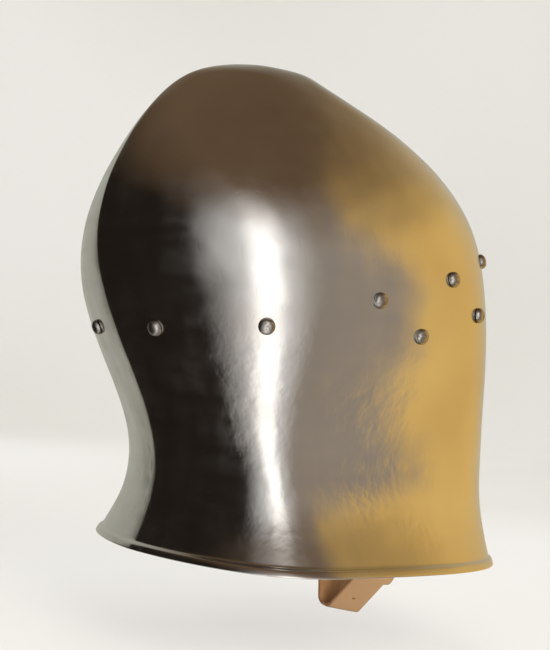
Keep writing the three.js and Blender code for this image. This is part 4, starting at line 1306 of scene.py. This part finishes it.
def swell_as_cloth(obj: bpy.types.Object, pressure: float) -> None:
    """Swells a closed pad as cloth without gravity and keeps the result."""
    scene = bpy.context.scene
    cloth = obj.modifiers.new("cloth", "CLOTH")
    cloth.settings.use_pressure = True
    cloth.settings.uniform_pressure_force = pressure
    cloth.settings.effector_weights.gravity = 0
    cloth.settings.quality = 5
    cloth.settings.tension_stiffness = 20
    cloth.settings.bending_stiffness = 2
    cloth.point_cache.frame_start, cloth.point_cache.frame_end = 1, 20
    for frame in range(1, 21):
        scene.frame_set(frame)
        obj.evaluated_get(bpy.context.evaluated_depsgraph_get())
    evaluated(obj)
    scene.frame_set(1)


# Hangers and chin strap


@dataclass
class ChinStrap:
    """The forked hangers, the two halves of the chin strap, its buckle and its keeper."""

    rivets: Fasteners = field(default_factory=Fasteners)
    plane: float = -60.0
    pivot_half: float = 78.0
    pivot_height: float = 92.0
    hanger_width: float = 14.0
    hanger_thickness: float = 2.2
    hanger_depth: float = 2.8
    hanger_head: float = 9.0
    width: float = 25.0
    thickness: float = 2.4
    strap_x: float = 75.4
    strap_top: float = 101.0
    shoulder: float = 77.0
    drop: tuple[float, float] = (3.5, -19.0)
    foot: tuple[float, float] = (1.5, -41.5)
    bottom: tuple[float, float] = (-12.0, -43.0)
    bend: tuple[float, float] = (-42.0, -12.0)
    sag_tilt: float = 11.0
    sag_rise: float = 3.0
    sag_top: float = 12.0
    sag_length: float = 36.0
    bend_radius: float = 36.0
    shoulder_radius: float = 22.0
    buckle_above_bend: float = 32.0
    fold_length: float = 30.0
    gap: float = 0.3
    bar_radius: float = 1.5
    tongue_radius: float = 1.2
    buckle_length: float = 19.0
    tongue_slot: float = 12.0
    hole_pitch: float = 17.0
    punch_radius: float = 2.0
    low_hole_radius: float = 1.2
    low_hole_up: float = 11.5
    keeper_width: float = 9.0
    keeper_thickness: float = 1.7
    tail: float = 9.5
    end_round: float = 11.0
    pivot_hole_radius: float = 2.2
    seam_places: tuple[float, float] = (-12.6, -28.2)
    seam_margin: float = 2.6
    thread_radius: float = 0.42
    frame_corner: float = 2.4

    def __post_init__(self) -> None:
        """The arm's directions: up the arm and out of it, as in the part."""
        shoulder = np.array([-self.strap_x, self.shoulder])
        self.arm_up = unit(shoulder - np.array(self.bend))
        self.arm_out = np.array([-self.arm_up[1], self.arm_up[0]])
        self.low_up = unit(np.array(self.bend) - np.array(self.bottom))
        self.low_out = np.array([-self.low_up[1], self.low_up[0]])
        self.bar_depth = self.bar_radius + self.gap + self.thickness / 2
        self.bar_seat = np.array(self.bend) + self.arm_up * self.buckle_above_bend
        self.step = self.thickness + self.gap
        self.fold_step = self.thickness + self.gap * 1.4
        self.hinge = self.on_arm(0, -self.bar_depth)
        front_out = self.step + self.thickness / 2 + self.gap + self.bar_radius
        front_along = math.sqrt(self.buckle_length**2 - (front_out + self.bar_depth) ** 2)
        self.front = self.on_arm(front_along, front_out)

    def on_arm(self, along: float, out: float) -> Array:
        """A point of the strap's plane, along the upper right arm and out of it."""
        return self.bar_seat + self.arm_up * along + self.arm_out * out

    def lifted(self, flat: Array) -> Array:
        """Points of the strap's plane as points in space."""
        return np.stack([flat[:, 0], np.full(len(flat), self.plane), flat[:, 1]], axis=1)

    # Hangers

    def arm_line(self, level: float, turn: float, shares: Array) -> tuple[Array, Array]:
        """Middle line of a hanger's arm: it follows the skin and leaves it gradually for the pivot's plane.

        Args:
            level: Level of the arm's rivet.
            turn: Turn of the arm's rivet.
            shares: Shares of the way from the rivet to the pivot.

        Returns:
            Points of the line, and the outward direction at each.
        """
        foot = float(SKIN.level_at(self.pivot_height))
        middle, _, _, front = (float(size) for size in SKIN.sizes_at(np.array(foot)))
        power = float(SKIN.power_at(np.array(foot), np.array(False))) / 2
        foot_turn = math.pi - math.acos(((middle - self.plane) / front) ** power)
        depth = self.hanger_depth + self.hanger_thickness / 2
        pivot = np.array([-self.pivot_half, self.plane, self.pivot_height])
        miss = pivot - SKIN.point(np.array(foot), np.array(foot_turn), depth)
        levels = level + (foot - level) * shares
        turns = turn + (foot_turn - turn) * shares
        leave = eased(np.clip(shares / 0.8, 0, 1))
        points = SKIN.point(levels, turns, np.full(shares.shape, depth))
        points[:, 0] += (pivot[0] - points[:, 0]) * leave
        points[:, 1] += miss[1] * shares
        points[:, 2] += miss[2] * shares
        out = SKIN.outward(levels, turns) * (1 - leave)[:, None] + np.array([-1.0, 0, 0]) * leave[:, None]
        return points, unit(out)

    def hanger(self, side: int) -> None:
        """A hanger cut from one strip: two arms with rounded heads, joined in the round head at the pivot."""
        parts = []
        for turn, level in zip(self.rivets.strap_turns, self.rivets.strap_levels):
            first, _ = self.arm_line(level, turn * math.pi, np.array([0.0, 1.0]))
            reach = np.linalg.norm(first[1] - first[0])
            shares = np.linspace(-self.hanger_head / reach, 1, 64)
            centre, out = self.arm_line(level, turn * math.pi, shares)
            ahead = unit(np.gradient(centre, axis=0))
            out = squared(out, ahead)
            along = shares * reach + self.hanger_head
            blunt = np.clip(along / 6.0, 0, 1)
            narrow = 0.3 + 0.7 * np.sqrt(1 - (1 - blunt) ** 2)
            section = strap_section(self.hanger_width, self.hanger_thickness, 0.7, 9)
            rows = section[None] * np.stack([narrow, np.ones_like(narrow)], axis=1)[:, None]
            parts.append(swept(centre, np.cross(ahead, out), out, rows))
        half, radius = self.hanger_thickness / 2, self.hanger_head
        profile = np.array([
            [0.05, -half], [radius - 0.7, -half], [radius - 0.2, -half + 0.35], [radius, 0],
            [radius - 0.2, half - 0.35], [radius - 0.7, half], [0.05, half],
        ])
        pivot = np.array([-self.pivot_half, self.plane, self.pivot_height])
        head = turned_points(profile, 40, pivot, np.array([-1.0, 0, 0]))
        name = "right" if side < 0 else "left"
        flip = np.array([-side, 1, 1])
        obj = piece(f"strap_hanger_{name}_leather", head * flip, tube_faces(len(profile), 40), STRAP, Body.HELMET)
        for points, faces in parts:
            combine(obj, points * flip, faces, Join.UNITE)
        self.edge_facts(obj)
        dressed(obj, STRAP, Body.HELMET, [f"strap_hanger_{name}"])

    def edge_facts(self, obj: bpy.types.Object) -> None:
        """Marks the vertices of a joined piece's narrow faces as cut edges, by how little their normals face x."""
        mesh = obj.data
        normals = np.empty(len(mesh.vertices) * 3)
        mesh.vertices.foreach_get("normal", normals)
        normals = normals.reshape(-1, 3)
        level, turn, _ = locate(coordinates(obj))
        facing = np.abs((normals * SKIN.outward(level, turn)).sum(1))
        facing = np.maximum(facing, np.abs(normals[:, 0]))
        for key, values in (("edge", np.clip((0.85 - facing) / 0.5, 0, 1)), ("flesh", np.zeros(len(facing)))):
            if key not in mesh.attributes:
                mesh.attributes.new(key, "FLOAT", "POINT")
            mesh.attributes[key].data.foreach_set("value", values.astype(np.float32))

    def sagged(self, points: Array) -> Array:
        """The foot of the loop twisted a little: below the rim a point drops by its share of the width, front down.

        Args:
            points: Points of a strap half.

        Returns:
            The points with their new heights.
        """
        share = eased(np.clip((self.sag_top - points[:, 2]) / self.sag_length, 0, 1))
        moved = points.copy()
        moved[:, 2] += (points[:, 1] - self.plane) * math.tan(math.radians(self.sag_tilt)) * share
        moved[:, 2] += self.sag_rise * share
        return moved

    # Strap halves

    def strip(self, route: Array, round_start: float, round_end: float) -> tuple[Array, Array, dict[str, Array]]:
        """A strap along a route of its plane: its section swept with the edges drawn in at rounded ends.

        Args:
            route: Points of the route, two columns.
            round_start: Length over which the first end is rounded.
            round_end: Length over which the last end is rounded.

        Returns:
            Points, faces, and the facts of the vertices.
        """
        flat = resampled(route, 1.3)
        centre = self.lifted(flat)
        ahead = unit(np.gradient(centre, axis=0))
        across = np.tile(np.array([0.0, 1.0, 0.0]), (len(centre), 1))
        up = np.cross(ahead, across)
        along = np.linspace(0, 1, len(flat)) * np.linalg.norm(np.diff(flat, axis=0), axis=1).sum()
        blunt = np.minimum(
            np.clip(along / max(round_start, 0.01), 0, 1), np.clip((along[-1] - along) / max(round_end, 0.01), 0, 1)
        )
        narrow = 0.45 + 0.55 * np.sqrt(1 - (1 - blunt) ** 2)
        section = strap_section(self.width, self.thickness, 0.8, 13)
        rows = section[None] * np.stack([narrow, np.ones_like(narrow)], axis=1)[:, None]
        # A strap that has been worn cups a little across its width.
        rows = rows + np.stack([np.zeros(rows.shape[:2]), -0.1 * (2 * rows[..., 0] / self.width) ** 2], axis=-1)
        points, faces = swept(centre, across, up, rows)
        return points, faces, strap_facts(section, self.width, len(flat))

    def holes(self, obj: bpy.types.Object, places: Sequence[tuple[Array, Array, float]]) -> None:
        """Punches round holes: each has a point of the strap's plane, the way through, and a radius."""
        for at, way, radius in places:
            ahead = np.array([way[0], 0.0, way[1]])
            profile = np.array([[radius, -4.0], [radius, 4.0]])
            points = turned_points(profile, 20, np.array([at[0], self.plane, at[1]]), ahead)
            combine(obj, points, tube_faces(2, 20), Join.CUT)

    def slotted(self, obj: bpy.types.Object, along: tuple[float, float], out: tuple[float, float]) -> None:
        """Cuts the tongue's slot: a box from one length and depth of the upper right arm to another."""
        half = self.bar_radius * 1.6
        corners = np.stack([
            self.on_arm(along[0], out[0]), self.on_arm(along[1], out[0]), self.on_arm(along[1], out[1]),
            self.on_arm(along[0], out[1]),
        ])
        combine(obj, *prism(corners, self.plane - half, self.plane + half, 1), Join.CUT)

    def buckle_half(self) -> None:
        """The long half: down the left side, under the jaw, up the right arm and back round the hinge bar."""
        down = rounded_route(
            [(self.strap_x, self.strap_top), (self.strap_x, self.shoulder), self.drop, self.foot,
             (self.bottom[0] + 3.4, self.bottom[1] + 0.5), self.bend, self.on_arm(0, 0)],
            [self.shoulder_radius, 30.0, 5.0, 5.0, self.bend_radius],
        )
        angle = np.pi / 2 - np.linspace(0, np.pi, 16)[1:]
        fold = np.stack([
            self.on_arm(self.bar_depth * math.cos(a), -self.bar_depth + self.bar_depth * math.sin(a)) for a in angle
        ])
        back = np.stack([self.on_arm(-12, -self.fold_step), self.on_arm(-self.fold_length, -self.fold_step)])
        points, faces, facts = self.strip(np.concatenate([down, fold, back]), self.end_round, 2.0)
        facts["flesh"] = 1 - facts["flesh"]
        obj = piece("chin_strap_left_leather", points, faces, STRAP, Body.CHIN_STRAP, (), facts)
        reach = self.bar_depth + self.thickness
        self.slotted(obj, (-reach, reach * 2), (-reach * 2, reach))
        low = np.array(self.bottom) + self.low_up * self.low_hole_up
        pivot = np.array([self.strap_x, self.pivot_height])
        low_hole = (low, self.low_out, self.low_hole_radius)
        self.holes(obj, [low_hole, (pivot, np.array([1.0, 0.0]), self.pivot_hole_radius)])
        set_coordinates(obj, self.sagged(coordinates(obj)))
        dressed(obj, STRAP, Body.CHIN_STRAP, ["chin_strap_left"])

    def billet(self) -> None:
        """The punched half: down from the right pivot outside the buckle half, its tail cut straight."""
        shoulder = np.array([-self.strap_x, self.shoulder]) + self.arm_out * self.step
        shoulder = shoulder - self.arm_up * self.arm_out[0] * self.step / self.arm_up[0]
        bisector = (self.arm_out + self.low_out) / (1 + self.arm_out @ self.low_out)
        bend = np.array(self.bend) + bisector * self.step
        end = bend - self.low_up * self.tail
        corners = [(-self.strap_x, self.strap_top), shoulder, bend, end]
        route = rounded_route(corners, [self.shoulder_radius, self.bend_radius + self.step])
        points, faces, facts = self.strip(route, self.end_round, 2.6)
        obj = piece("chin_strap_right_leather", points, faces, STRAP, Body.CHIN_STRAP, (), facts)
        centre, half = self.buckle_length * 0.4, self.tongue_slot / 2
        self.slotted(obj, (centre - half, centre + half), (self.step - self.thickness, self.step + self.thickness))
        places = [
            (self.on_arm(centre + number * self.hole_pitch, self.step), self.arm_out, self.punch_radius)
            for number in (-1, 1, 2)
        ]
        pivot = np.array([-self.strap_x, self.pivot_height])
        places.append((pivot, np.array([1.0, 0.0]), self.pivot_hole_radius))
        self.holes(obj, places)
        set_coordinates(obj, self.sagged(coordinates(obj)))
        dressed(obj, STRAP, Body.CHIN_STRAP, ["chin_strap_right"])

    def seams(self) -> None:
        """Stitches that close the fold: a row across on each side of the keeper, on the inner face of the fold."""
        inner = -self.fold_step - self.thickness / 2
        parts = []
        for along in self.seam_places:
            at = self.on_arm(along, inner)
            y = np.linspace(self.seam_margin - self.width / 2, self.width / 2 - self.seam_margin, 12)
            path = np.stack([np.full(12, at[0]), self.plane + y, np.full(12, at[1])], axis=1)
            up = np.tile(np.array([-self.arm_out[0], 0, -self.arm_out[1]]), (12, 1))
            parts.append(stitch_row(path, up, 3.9, self.thread_radius))
        points, faces = merged(parts)
        piece("strap_fold_stitches", points, faces, THREAD, Body.CHIN_STRAP, ["chin_strap_left"])

    def keeper(self) -> None:
        """The keeper: a thin strip bent to a rounded rectangle round both straps."""
        low = -self.fold_step - self.thickness / 2 - self.gap
        high = self.step + self.thickness / 2 + self.gap
        wall, half = self.keeper_thickness, self.width / 2 + self.gap
        centre = np.array([0.0, (low + high) / 2])
        size = np.array([half + wall / 2, (high - low) / 2 + wall / 2])
        ring = on_circle(np.linspace(0, 2 * np.pi, 96, endpoint=False) + np.pi / 4)
        # A squared circle: each number raised to a small power keeps the corners tight round the straps.
        ring = np.sign(ring) * np.abs(ring) ** np.array([0.16, 0.34]) * size + centre
        middle = self.bar_seat - self.arm_up * self.fold_length * 0.7
        out = np.array([self.arm_out[0], 0, self.arm_out[1]])
        foot = np.array([middle[0], self.plane, middle[1]])
        path = foot + ring[:, :1] * np.array([0, 1.0, 0]) + ring[:, 1:] * out
        ahead = unit(np.roll(path, -1, axis=0) - np.roll(path, 1, axis=0))
        along = np.tile(np.array([self.arm_up[0], 0, self.arm_up[1]]), (96, 1))
        section = strap_section(self.keeper_width, wall, 0.5, 7)
        points, faces = swept(path, along, np.cross(ahead, along), section, is_loop=True)
        facts = strap_facts(section, self.keeper_width, 96)
        facts["flesh"] = np.zeros_like(facts["flesh"])
        piece("strap_keeper_leather", points, faces, STRAP, Body.CHIN_STRAP, ["strap_keeper"], facts)

    # Buckle

    def frame(self) -> None:
        """The buckle's frame: round bar bent to a rectangle with rounded corners, its weld dressed flat."""
        half = self.width / 2 + self.gap * 2 + self.bar_radius
        ahead = self.front - self.hinge
        length = float(np.linalg.norm(ahead))
        ahead = ahead / length
        corners = [(0, 0), (half, 0), (half, length), (-half, length), (-half, 0), (0, 0)]
        flat = rounded_route(corners, [self.frame_corner] * 4, 9)[:-1]
        flat = resampled(np.concatenate([flat, flat[:1]]), 0.8)[:-1]
        path = self.lifted(self.hinge + flat[:, 1:] * ahead)
        path[:, 1] += flat[:, 0]
        ring = unit(np.roll(path, -1, axis=0) - np.roll(path, 1, axis=0))
        upward = unit(np.cross(np.array([0, 1.0, 0]), np.array([ahead[0], 0, ahead[1]])))
        normal = np.tile(upward, (len(path), 1))
        section = circle(14) * self.bar_radius
        beat = 1 + 0.02 * undulation(path, 6, 77)
        rows = section[None] * beat[:, None, None]
        points, faces = swept(path, np.cross(ring, normal), normal, rows, is_loop=True)
        piece("buckle_frame_forged", points, faces, IRON, Body.BUCKLE, ["buckle_frame"])

    def tongue(self) -> None:
        """The tongue: a bar whose flat end wraps the hinge bar, tapering to a tip that rests on the front bar."""
        lift = math.asin((self.bar_radius + self.gap + self.tongue_radius) / self.buckle_length)
        ahead = unit(self.front - self.hinge)
        spin = math.copysign(lift, float(self.arm_up[0] * self.arm_out[1] - self.arm_up[1] * self.arm_out[0]))
        turn = np.array([[math.cos(spin), -math.sin(spin)], [math.sin(spin), math.cos(spin)]])
        ahead = turn @ ahead
        side = np.array([-ahead[1], ahead[0]])
        if side @ self.arm_out < 0:
            side = -side
        radius = self.bar_radius + self.gap + 0.55
        angle = np.linspace(math.radians(310), math.radians(65), 30)
        wrap = self.hinge + on_circle(angle) @ np.stack([ahead, side]) * radius
        share = np.linspace(0, 1, 26)[:, None]
        # The shank starts on top of the eye and sinks to the tongue's axis, then droops at its tip.
        along = radius * 0.42 + (self.buckle_length + self.bar_radius - radius * 0.42) * share
        height = (radius * 0.9) * (1 - np.minimum(share / 0.3, 1)) ** 2 - 0.25 * np.maximum(share - 0.8, 0) / 0.2
        shank = self.hinge + along * ahead + height * side
        flat = resampled(np.concatenate([wrap, shank]), 0.45)
        path = self.lifted(flat)
        way = unit(np.gradient(path, axis=0))
        across = np.tile(np.array([0.0, 1.0, 0.0]), (len(path), 1))
        run = np.linspace(0, 1, len(path))
        wrapped = 1 - np.clip((run - 0.3) / 0.2, 0, 1)
        wide = 1.72 * wrapped + (1 - wrapped) * (1.25 - 0.45 * np.clip((run - 0.55) / 0.45, 0, 1))
        thick = 0.55 * wrapped + (1 - wrapped) * (1.15 - 0.3 * np.clip((run - 0.6) / 0.4, 0, 1))
        close = np.sqrt(1 - np.clip((run - 0.965) / 0.036, 0, 1) ** 2)
        ring = circle(14)
        ring = np.sign(ring) * np.abs(ring) ** 0.75
        section = ring[None] * np.stack([wide * close, thick * close], axis=1)[:, None]
        points, faces = swept(path, across, np.cross(way, across), section)
        piece("buckle_tongue_wrapped", points, faces, IRON, Body.TONGUE, ["buckle_tongue"])

    def build(self) -> None:
        """Hangers, the strap's halves with their seams, the keeper and the buckle."""
        self.hanger(-1)
        self.hanger(1)
        self.buckle_half()
        self.billet()
        self.seams()
        self.keeper()
        self.frame()
        self.tongue()


# Studio


class Card(Enum):
    """Plain colours of the studio's glowing reflection cards."""

    GREY = "#808078"
    BLACK = "#181410"
    SILVER = "#b0b0b0"
    WHITE = "#ffffff"
    STONE = "#787068"
    BRASS = "#b89858"
    BROWN = "#504030"


@dataclass
class Studio:
    """Pale floor and backdrop, tall soft panels, and the camera at the photograph's angle."""

    turn: float = 56.15
    dip: float = -2.28
    roll: float = -3.95
    place: tuple[float, float, float] = (-0.6792, 0.4262, -0.1756)
    lens: float = 71.61
    floor_height: float = -0.338
    pale: str = "#ece9e3"
    white: str = "#f9f6f3"
    paper_glow: float = 0.68
    paper_shade: str = "#7f807b"
    room: str = "#b7b4ac"
    card_strength: float = 2.4
    card_radius: float = 2.0
    # Degrees round the cards to the one that faces the helmet from the camera's side.
    camera_card: float = 165.0
    bands: tuple[tuple[float, Card], ...] = (
        (0, Card.GREY), (35, Card.GREY), (45, Card.BLACK), (110, Card.BLACK), (145, Card.SILVER),
        (160, Card.WHITE), (180, Card.WHITE), (195, Card.SILVER), (220, Card.STONE), (240, Card.STONE),
        (255, Card.BRASS), (285, Card.BRASS), (330, Card.GREY),
    )
    roof: Card = Card.BROWN

    def axes(self) -> tuple[Vector, Vector, Vector]:
        """The camera's right, up and back directions."""
        turn, dip, roll = (math.radians(value) for value in (self.turn, self.dip, self.roll))
        back = Vector((-math.sin(turn) * math.cos(dip), math.cos(turn) * math.cos(dip), math.sin(dip)))
        right = Vector((-math.cos(turn), -math.sin(turn), 0))
        up = back.cross(right)
        image_right = math.cos(roll) * right - math.sin(roll) * up
        image_up = math.sin(roll) * right + math.cos(roll) * up
        return image_right, image_up, back

    def camera(self) -> None:
        """The camera, turned by its three axes."""
        lens = bpy.data.cameras.new("camera")
        lens.lens, lens.sensor_width, lens.sensor_fit = self.lens, 36.0, "AUTO"
        lens.clip_start, lens.clip_end = 0.01, 50
        camera = bpy.data.objects.new("camera", lens)
        right, up, back = self.axes()
        matrix = Matrix((right, up, back)).transposed().to_4x4()
        matrix.translation = Vector(self.place)
        camera.matrix_world = matrix
        bpy.context.scene.collection.objects.link(camera)
        bpy.context.scene.camera = camera

    def turned(self, name: str, profile: Array, start: float, sweep: float, sides: int) -> bpy.types.Object:
        """A stage piece: a profile of radius and height turned about the helmet's upright axis.

        Args:
            name: Name of the piece.
            profile: Rows of radius and height in metres.
            start: First angle in degrees.
            sweep: Degrees swept; 360 closes it.
            sides: Cells round it.

        Returns:
            The object, marked as stage.
        """
        is_closed = sweep >= 360
        count = sides if is_closed else sides + 1
        angle = np.radians(start + sweep * np.arange(count) / sides)
        ring = on_circle(angle)
        flat = profile[:, None, :1] * ring[None]
        points = np.concatenate([flat, np.broadcast_to(profile[:, None, 1:], flat.shape[:2] + (1,))], axis=2)
        mesh = bpy.data.meshes.new(name)
        faces = grid_quads(len(profile), count, wrap_columns=is_closed)
        mesh.from_pydata(points.reshape(-1, 3).tolist(), [], faces.tolist())
        mesh.shade_smooth()
        made = bpy.data.objects.new(name, mesh)
        bpy.context.scene.collection.objects.link(made)
        return made

    def backdrop(self) -> None:
        """A round floor whose edge rises in a smooth curve to a wall: radius and height of one turned profile."""
        bend = np.linspace(0, np.pi / 2, 14)
        profile = np.concatenate([
            [[0.0, 0], [0.6, 0], [1.6, 0]],
            np.stack([2.2 + 0.8 * np.sin(bend), 0.8 - 0.8 * np.cos(bend)], axis=1),
            [[3.0, 1.8], [3.0, 3.4]],
        ])
        profile[:, 1] += self.floor_height
        self.turned("floor", profile, 0, 360, 96).data.materials.append(self.paper())

    def cards(self) -> None:
        """Reflection cards all the way round, as for any polished metal: seen in gloss alone.

        Their profile is a ring just over the floor and a quarter circle that closes overhead, so the metal mirrors
        broad upright bands under a plain roof.
        """
        rise = np.radians(np.linspace(-5, 90, 26))
        profile = self.card_radius * on_circle(rise) - np.array([0, 0.14])
        apron = np.array([[0.16, self.floor_height + 0.004], [1.8, self.floor_height + 0.004]])
        profile = np.concatenate([apron, profile])
        start = 90 + self.turn - self.camera_card
        made = self.turned("reflection_cards", profile, start, 360, 144)
        made.data.materials.append(self.banded(start))
        made.visible_camera = made.visible_diffuse = made.visible_transmission = False
        made.visible_shadow = made.visible_volume_scatter = False

    def banded(self, start: float) -> bpy.types.Material:
        """The cards' glowing colour: upright bands by the turn round the helmet, and one plain colour overhead.

        Args:
            start: Angle in degrees at which the cards begin.

        Returns:
            The material.
        """
        made = bpy.data.materials.new("glowing_reflection_card_bands")
        made.use_nodes = True
        tree = made.node_tree
        tree.nodes.clear()
        place = add_node(tree, "ShaderNodeTexCoord").outputs["Object"]
        parts = add_node(tree, "ShaderNodeSeparateXYZ", None, {0: place})
        angle = add_node(
            tree, "ShaderNodeMath", {"operation": "ARCTAN2"}, {0: parts.outputs["Y"], 1: parts.outputs["X"]}
        ).outputs[0]
        shifted = add_node(
            tree, "ShaderNodeMath", {"operation": "SUBTRACT"}, {0: angle, 1: math.radians(start)}
        ).outputs[0]
        turned = add_node(tree, "ShaderNodeMath", {"operation": "DIVIDE"}, {0: shifted, 1: 2 * math.pi}).outputs[0]
        share = add_node(tree, "ShaderNodeMath", {"operation": "FRACT"}, {0: turned}).outputs[0]
        soft = add_node(tree, "ShaderNodeTexNoise", None, {"Vector": place, "Scale": 1.3, "Detail": 2.0}).outputs[0]
        sway = add_node(
            tree, "ShaderNodeMapRange", None, {"Value": soft, "From Min": 0.3, "From Max": 0.7, "To Min": -0.012,
                                               "To Max": 0.012},
        ).outputs[0]
        share = add_node(tree, "ShaderNodeMath", {"operation": "ADD"}, {0: share, 1: sway}).outputs[0]
        over = add_node(
            tree, "ShaderNodeMapRange", None, {"Value": parts.outputs["Z"], "From Min": 0.8, "From Max": 1.6}
        ).outputs[0]
        tone = add_node(
            tree, "ShaderNodeMix", {"data_type": "RGBA"},
            {0: over, 6: self.ramp(tree, share), 7: linear(self.roof.value)},
        ).outputs[2]
        # The cards glow: an emission seen only in reflections, standing for the room that the metal mirrors.
        glow = add_node(tree, "ShaderNodeEmission", None, {"Color": tone, "Strength": self.card_strength})
        add_node(tree, "ShaderNodeOutputMaterial", None, {"Surface": glow.outputs[0]})
        return made

    def ramp(self, tree: bpy.types.NodeTree, share: bpy.types.NodeSocket) -> bpy.types.NodeSocket:
        """The bands' colours, blended from one to the next by the share of a turn."""
        node = add_node(tree, "ShaderNodeValToRGB", None, {0: share})
        ramp = node.color_ramp
        while len(ramp.elements) > 1:
            ramp.elements.remove(ramp.elements[-1])
        for number, (place, card) in enumerate(self.bands):
            element = ramp.elements[0] if number == 0 else ramp.elements.new(place / 360)
            element.position = place / 360
            element.color = linear(card.value)
        return node.outputs["Color"]

    def paper(self) -> bpy.types.Material:
        """Matt pale paper: diffuse where lamps reach it, its own pale colour to the camera and in reflections."""
        made = bpy.data.materials.new("matt_pale_paper")
        made.use_nodes = True
        tree = made.node_tree
        tree.nodes.clear()
        where = add_node(tree, "ShaderNodeTexCoord").outputs["Object"]
        soft = add_node(tree, "ShaderNodeTexNoise", None, {"Vector": where, "Scale": 0.9, "Detail": 0.0}).outputs[0]
        share = add_node(
            tree, "ShaderNodeMapRange", None, {"Value": soft, "From Min": 0.35, "From Max": 0.65}
        ).outputs[0]
        tone = add_node(
            tree, "ShaderNodeMix", {"data_type": "RGBA"}, {0: share, 6: linear(self.pale), 7: linear(self.white)}
        ).outputs[2]
        matt = add_node(tree, "ShaderNodeBsdfDiffuse", None, {"Color": tone})
        own = add_node(tree, "ShaderNodeEmission", None, {"Color": tone, "Strength": self.paper_glow})
        lit = add_node(tree, "ShaderNodeAddShader")
        dim = add_node(tree, "ShaderNodeBsdfDiffuse", None, {"Color": linear(self.paper_shade)})
        tree.links.new(own.outputs[0], lit.inputs[0])
        tree.links.new(dim.outputs[0], lit.inputs[1])
        path = add_node(tree, "ShaderNodeLightPath")
        seen = add_node(
            tree, "ShaderNodeMath", {"operation": "ADD", "use_clamp": True},
            {0: path.outputs["Is Camera Ray"], 1: path.outputs["Is Transmission Ray"]},
        ).outputs[0]
        seen = add_node(
            tree, "ShaderNodeMath", {"operation": "ADD", "use_clamp": True},
            {0: seen, 1: path.outputs["Is Glossy Ray"]},
        ).outputs[0]
        chosen = add_node(tree, "ShaderNodeMixShader", None, {0: seen})
        tree.links.new(matt.outputs[0], chosen.inputs[1])
        tree.links.new(lit.outputs[0], chosen.inputs[2])
        add_node(tree, "ShaderNodeOutputMaterial", None, {"Surface": chosen.outputs[0]})
        return made

    def panel(self, name: str, at: Vector, size: tuple[float, float], power: float, colour: str) -> None:
        """A soft rectangular lamp that faces the helmet, its long side upright."""
        light = bpy.data.lights.new(name, "AREA")
        light.shape, light.size, light.size_y = "RECTANGLE", size[0], size[1]
        light.energy, light.color = power, linear(colour)[:3]
        lamp = bpy.data.objects.new(name, light)
        target = Vector((0, 0, -0.14))
        lamp.location = at
        lamp.rotation_euler = (target - at).to_track_quat("-Z", "Y").to_euler()
        lamp.visible_glossy = False
        bpy.context.scene.collection.objects.link(lamp)

    def light(self) -> None:
        """The panels, placed round the helmet by their turn from the camera, and a quiet world."""
        for name, turn, height, away, size, power, colour in (
            ("key", 30.0, 0.45, 1.5, (0.8, 0.9), 26.0, "#fffaf2"),
            ("low", 20.0, -0.2, 1.4, (0.5, 0.3), 7.0, "#fff4e6"),
            ("side", -62.0, 0.5, 1.9, (1.0, 1.4), 16.0, "#f4f7ff"),
            ("back", 180.0, 1.3, 1.9, (1.4, 1.2), 18.0, "#ffffff"),
            ("top", 20.0, 2.1, 0.5, (1.2, 1.2), 16.0, "#ffffff"),
        ):
            angle = math.radians(90 + self.turn + turn)
            at = Vector((math.cos(angle) * away, math.sin(angle) * away, height))
            self.panel(name, at, size, power, colour)
        world = bpy.data.worlds.new("room")
        bpy.context.scene.world = world
        world.use_nodes = True
        tree = world.node_tree
        tree.nodes.clear()
        plain = add_node(tree, "ShaderNodeBackground", None, {"Color": linear(self.room), "Strength": 0.5})
        add_node(tree, "ShaderNodeOutputWorld", None, {"Surface": plain.outputs[0]})

    def build(self) -> None:
        """Camera, backdrop and lamps, at the plain view transform."""
        self.camera()
        self.backdrop()
        self.cards()
        self.light()
        bpy.context.scene.view_settings.view_transform = "Standard"


def main() -> None:
    """Builds the studio and the sub-assemblies in order."""
    logging.basicConfig(level=logging.INFO, format="%(message)s")
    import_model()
    Studio().build()
    Skull().build()
    Fasteners().build()
    Lining().build()
    ChinStrap().build()


if __name__ == "__main__":
    main()
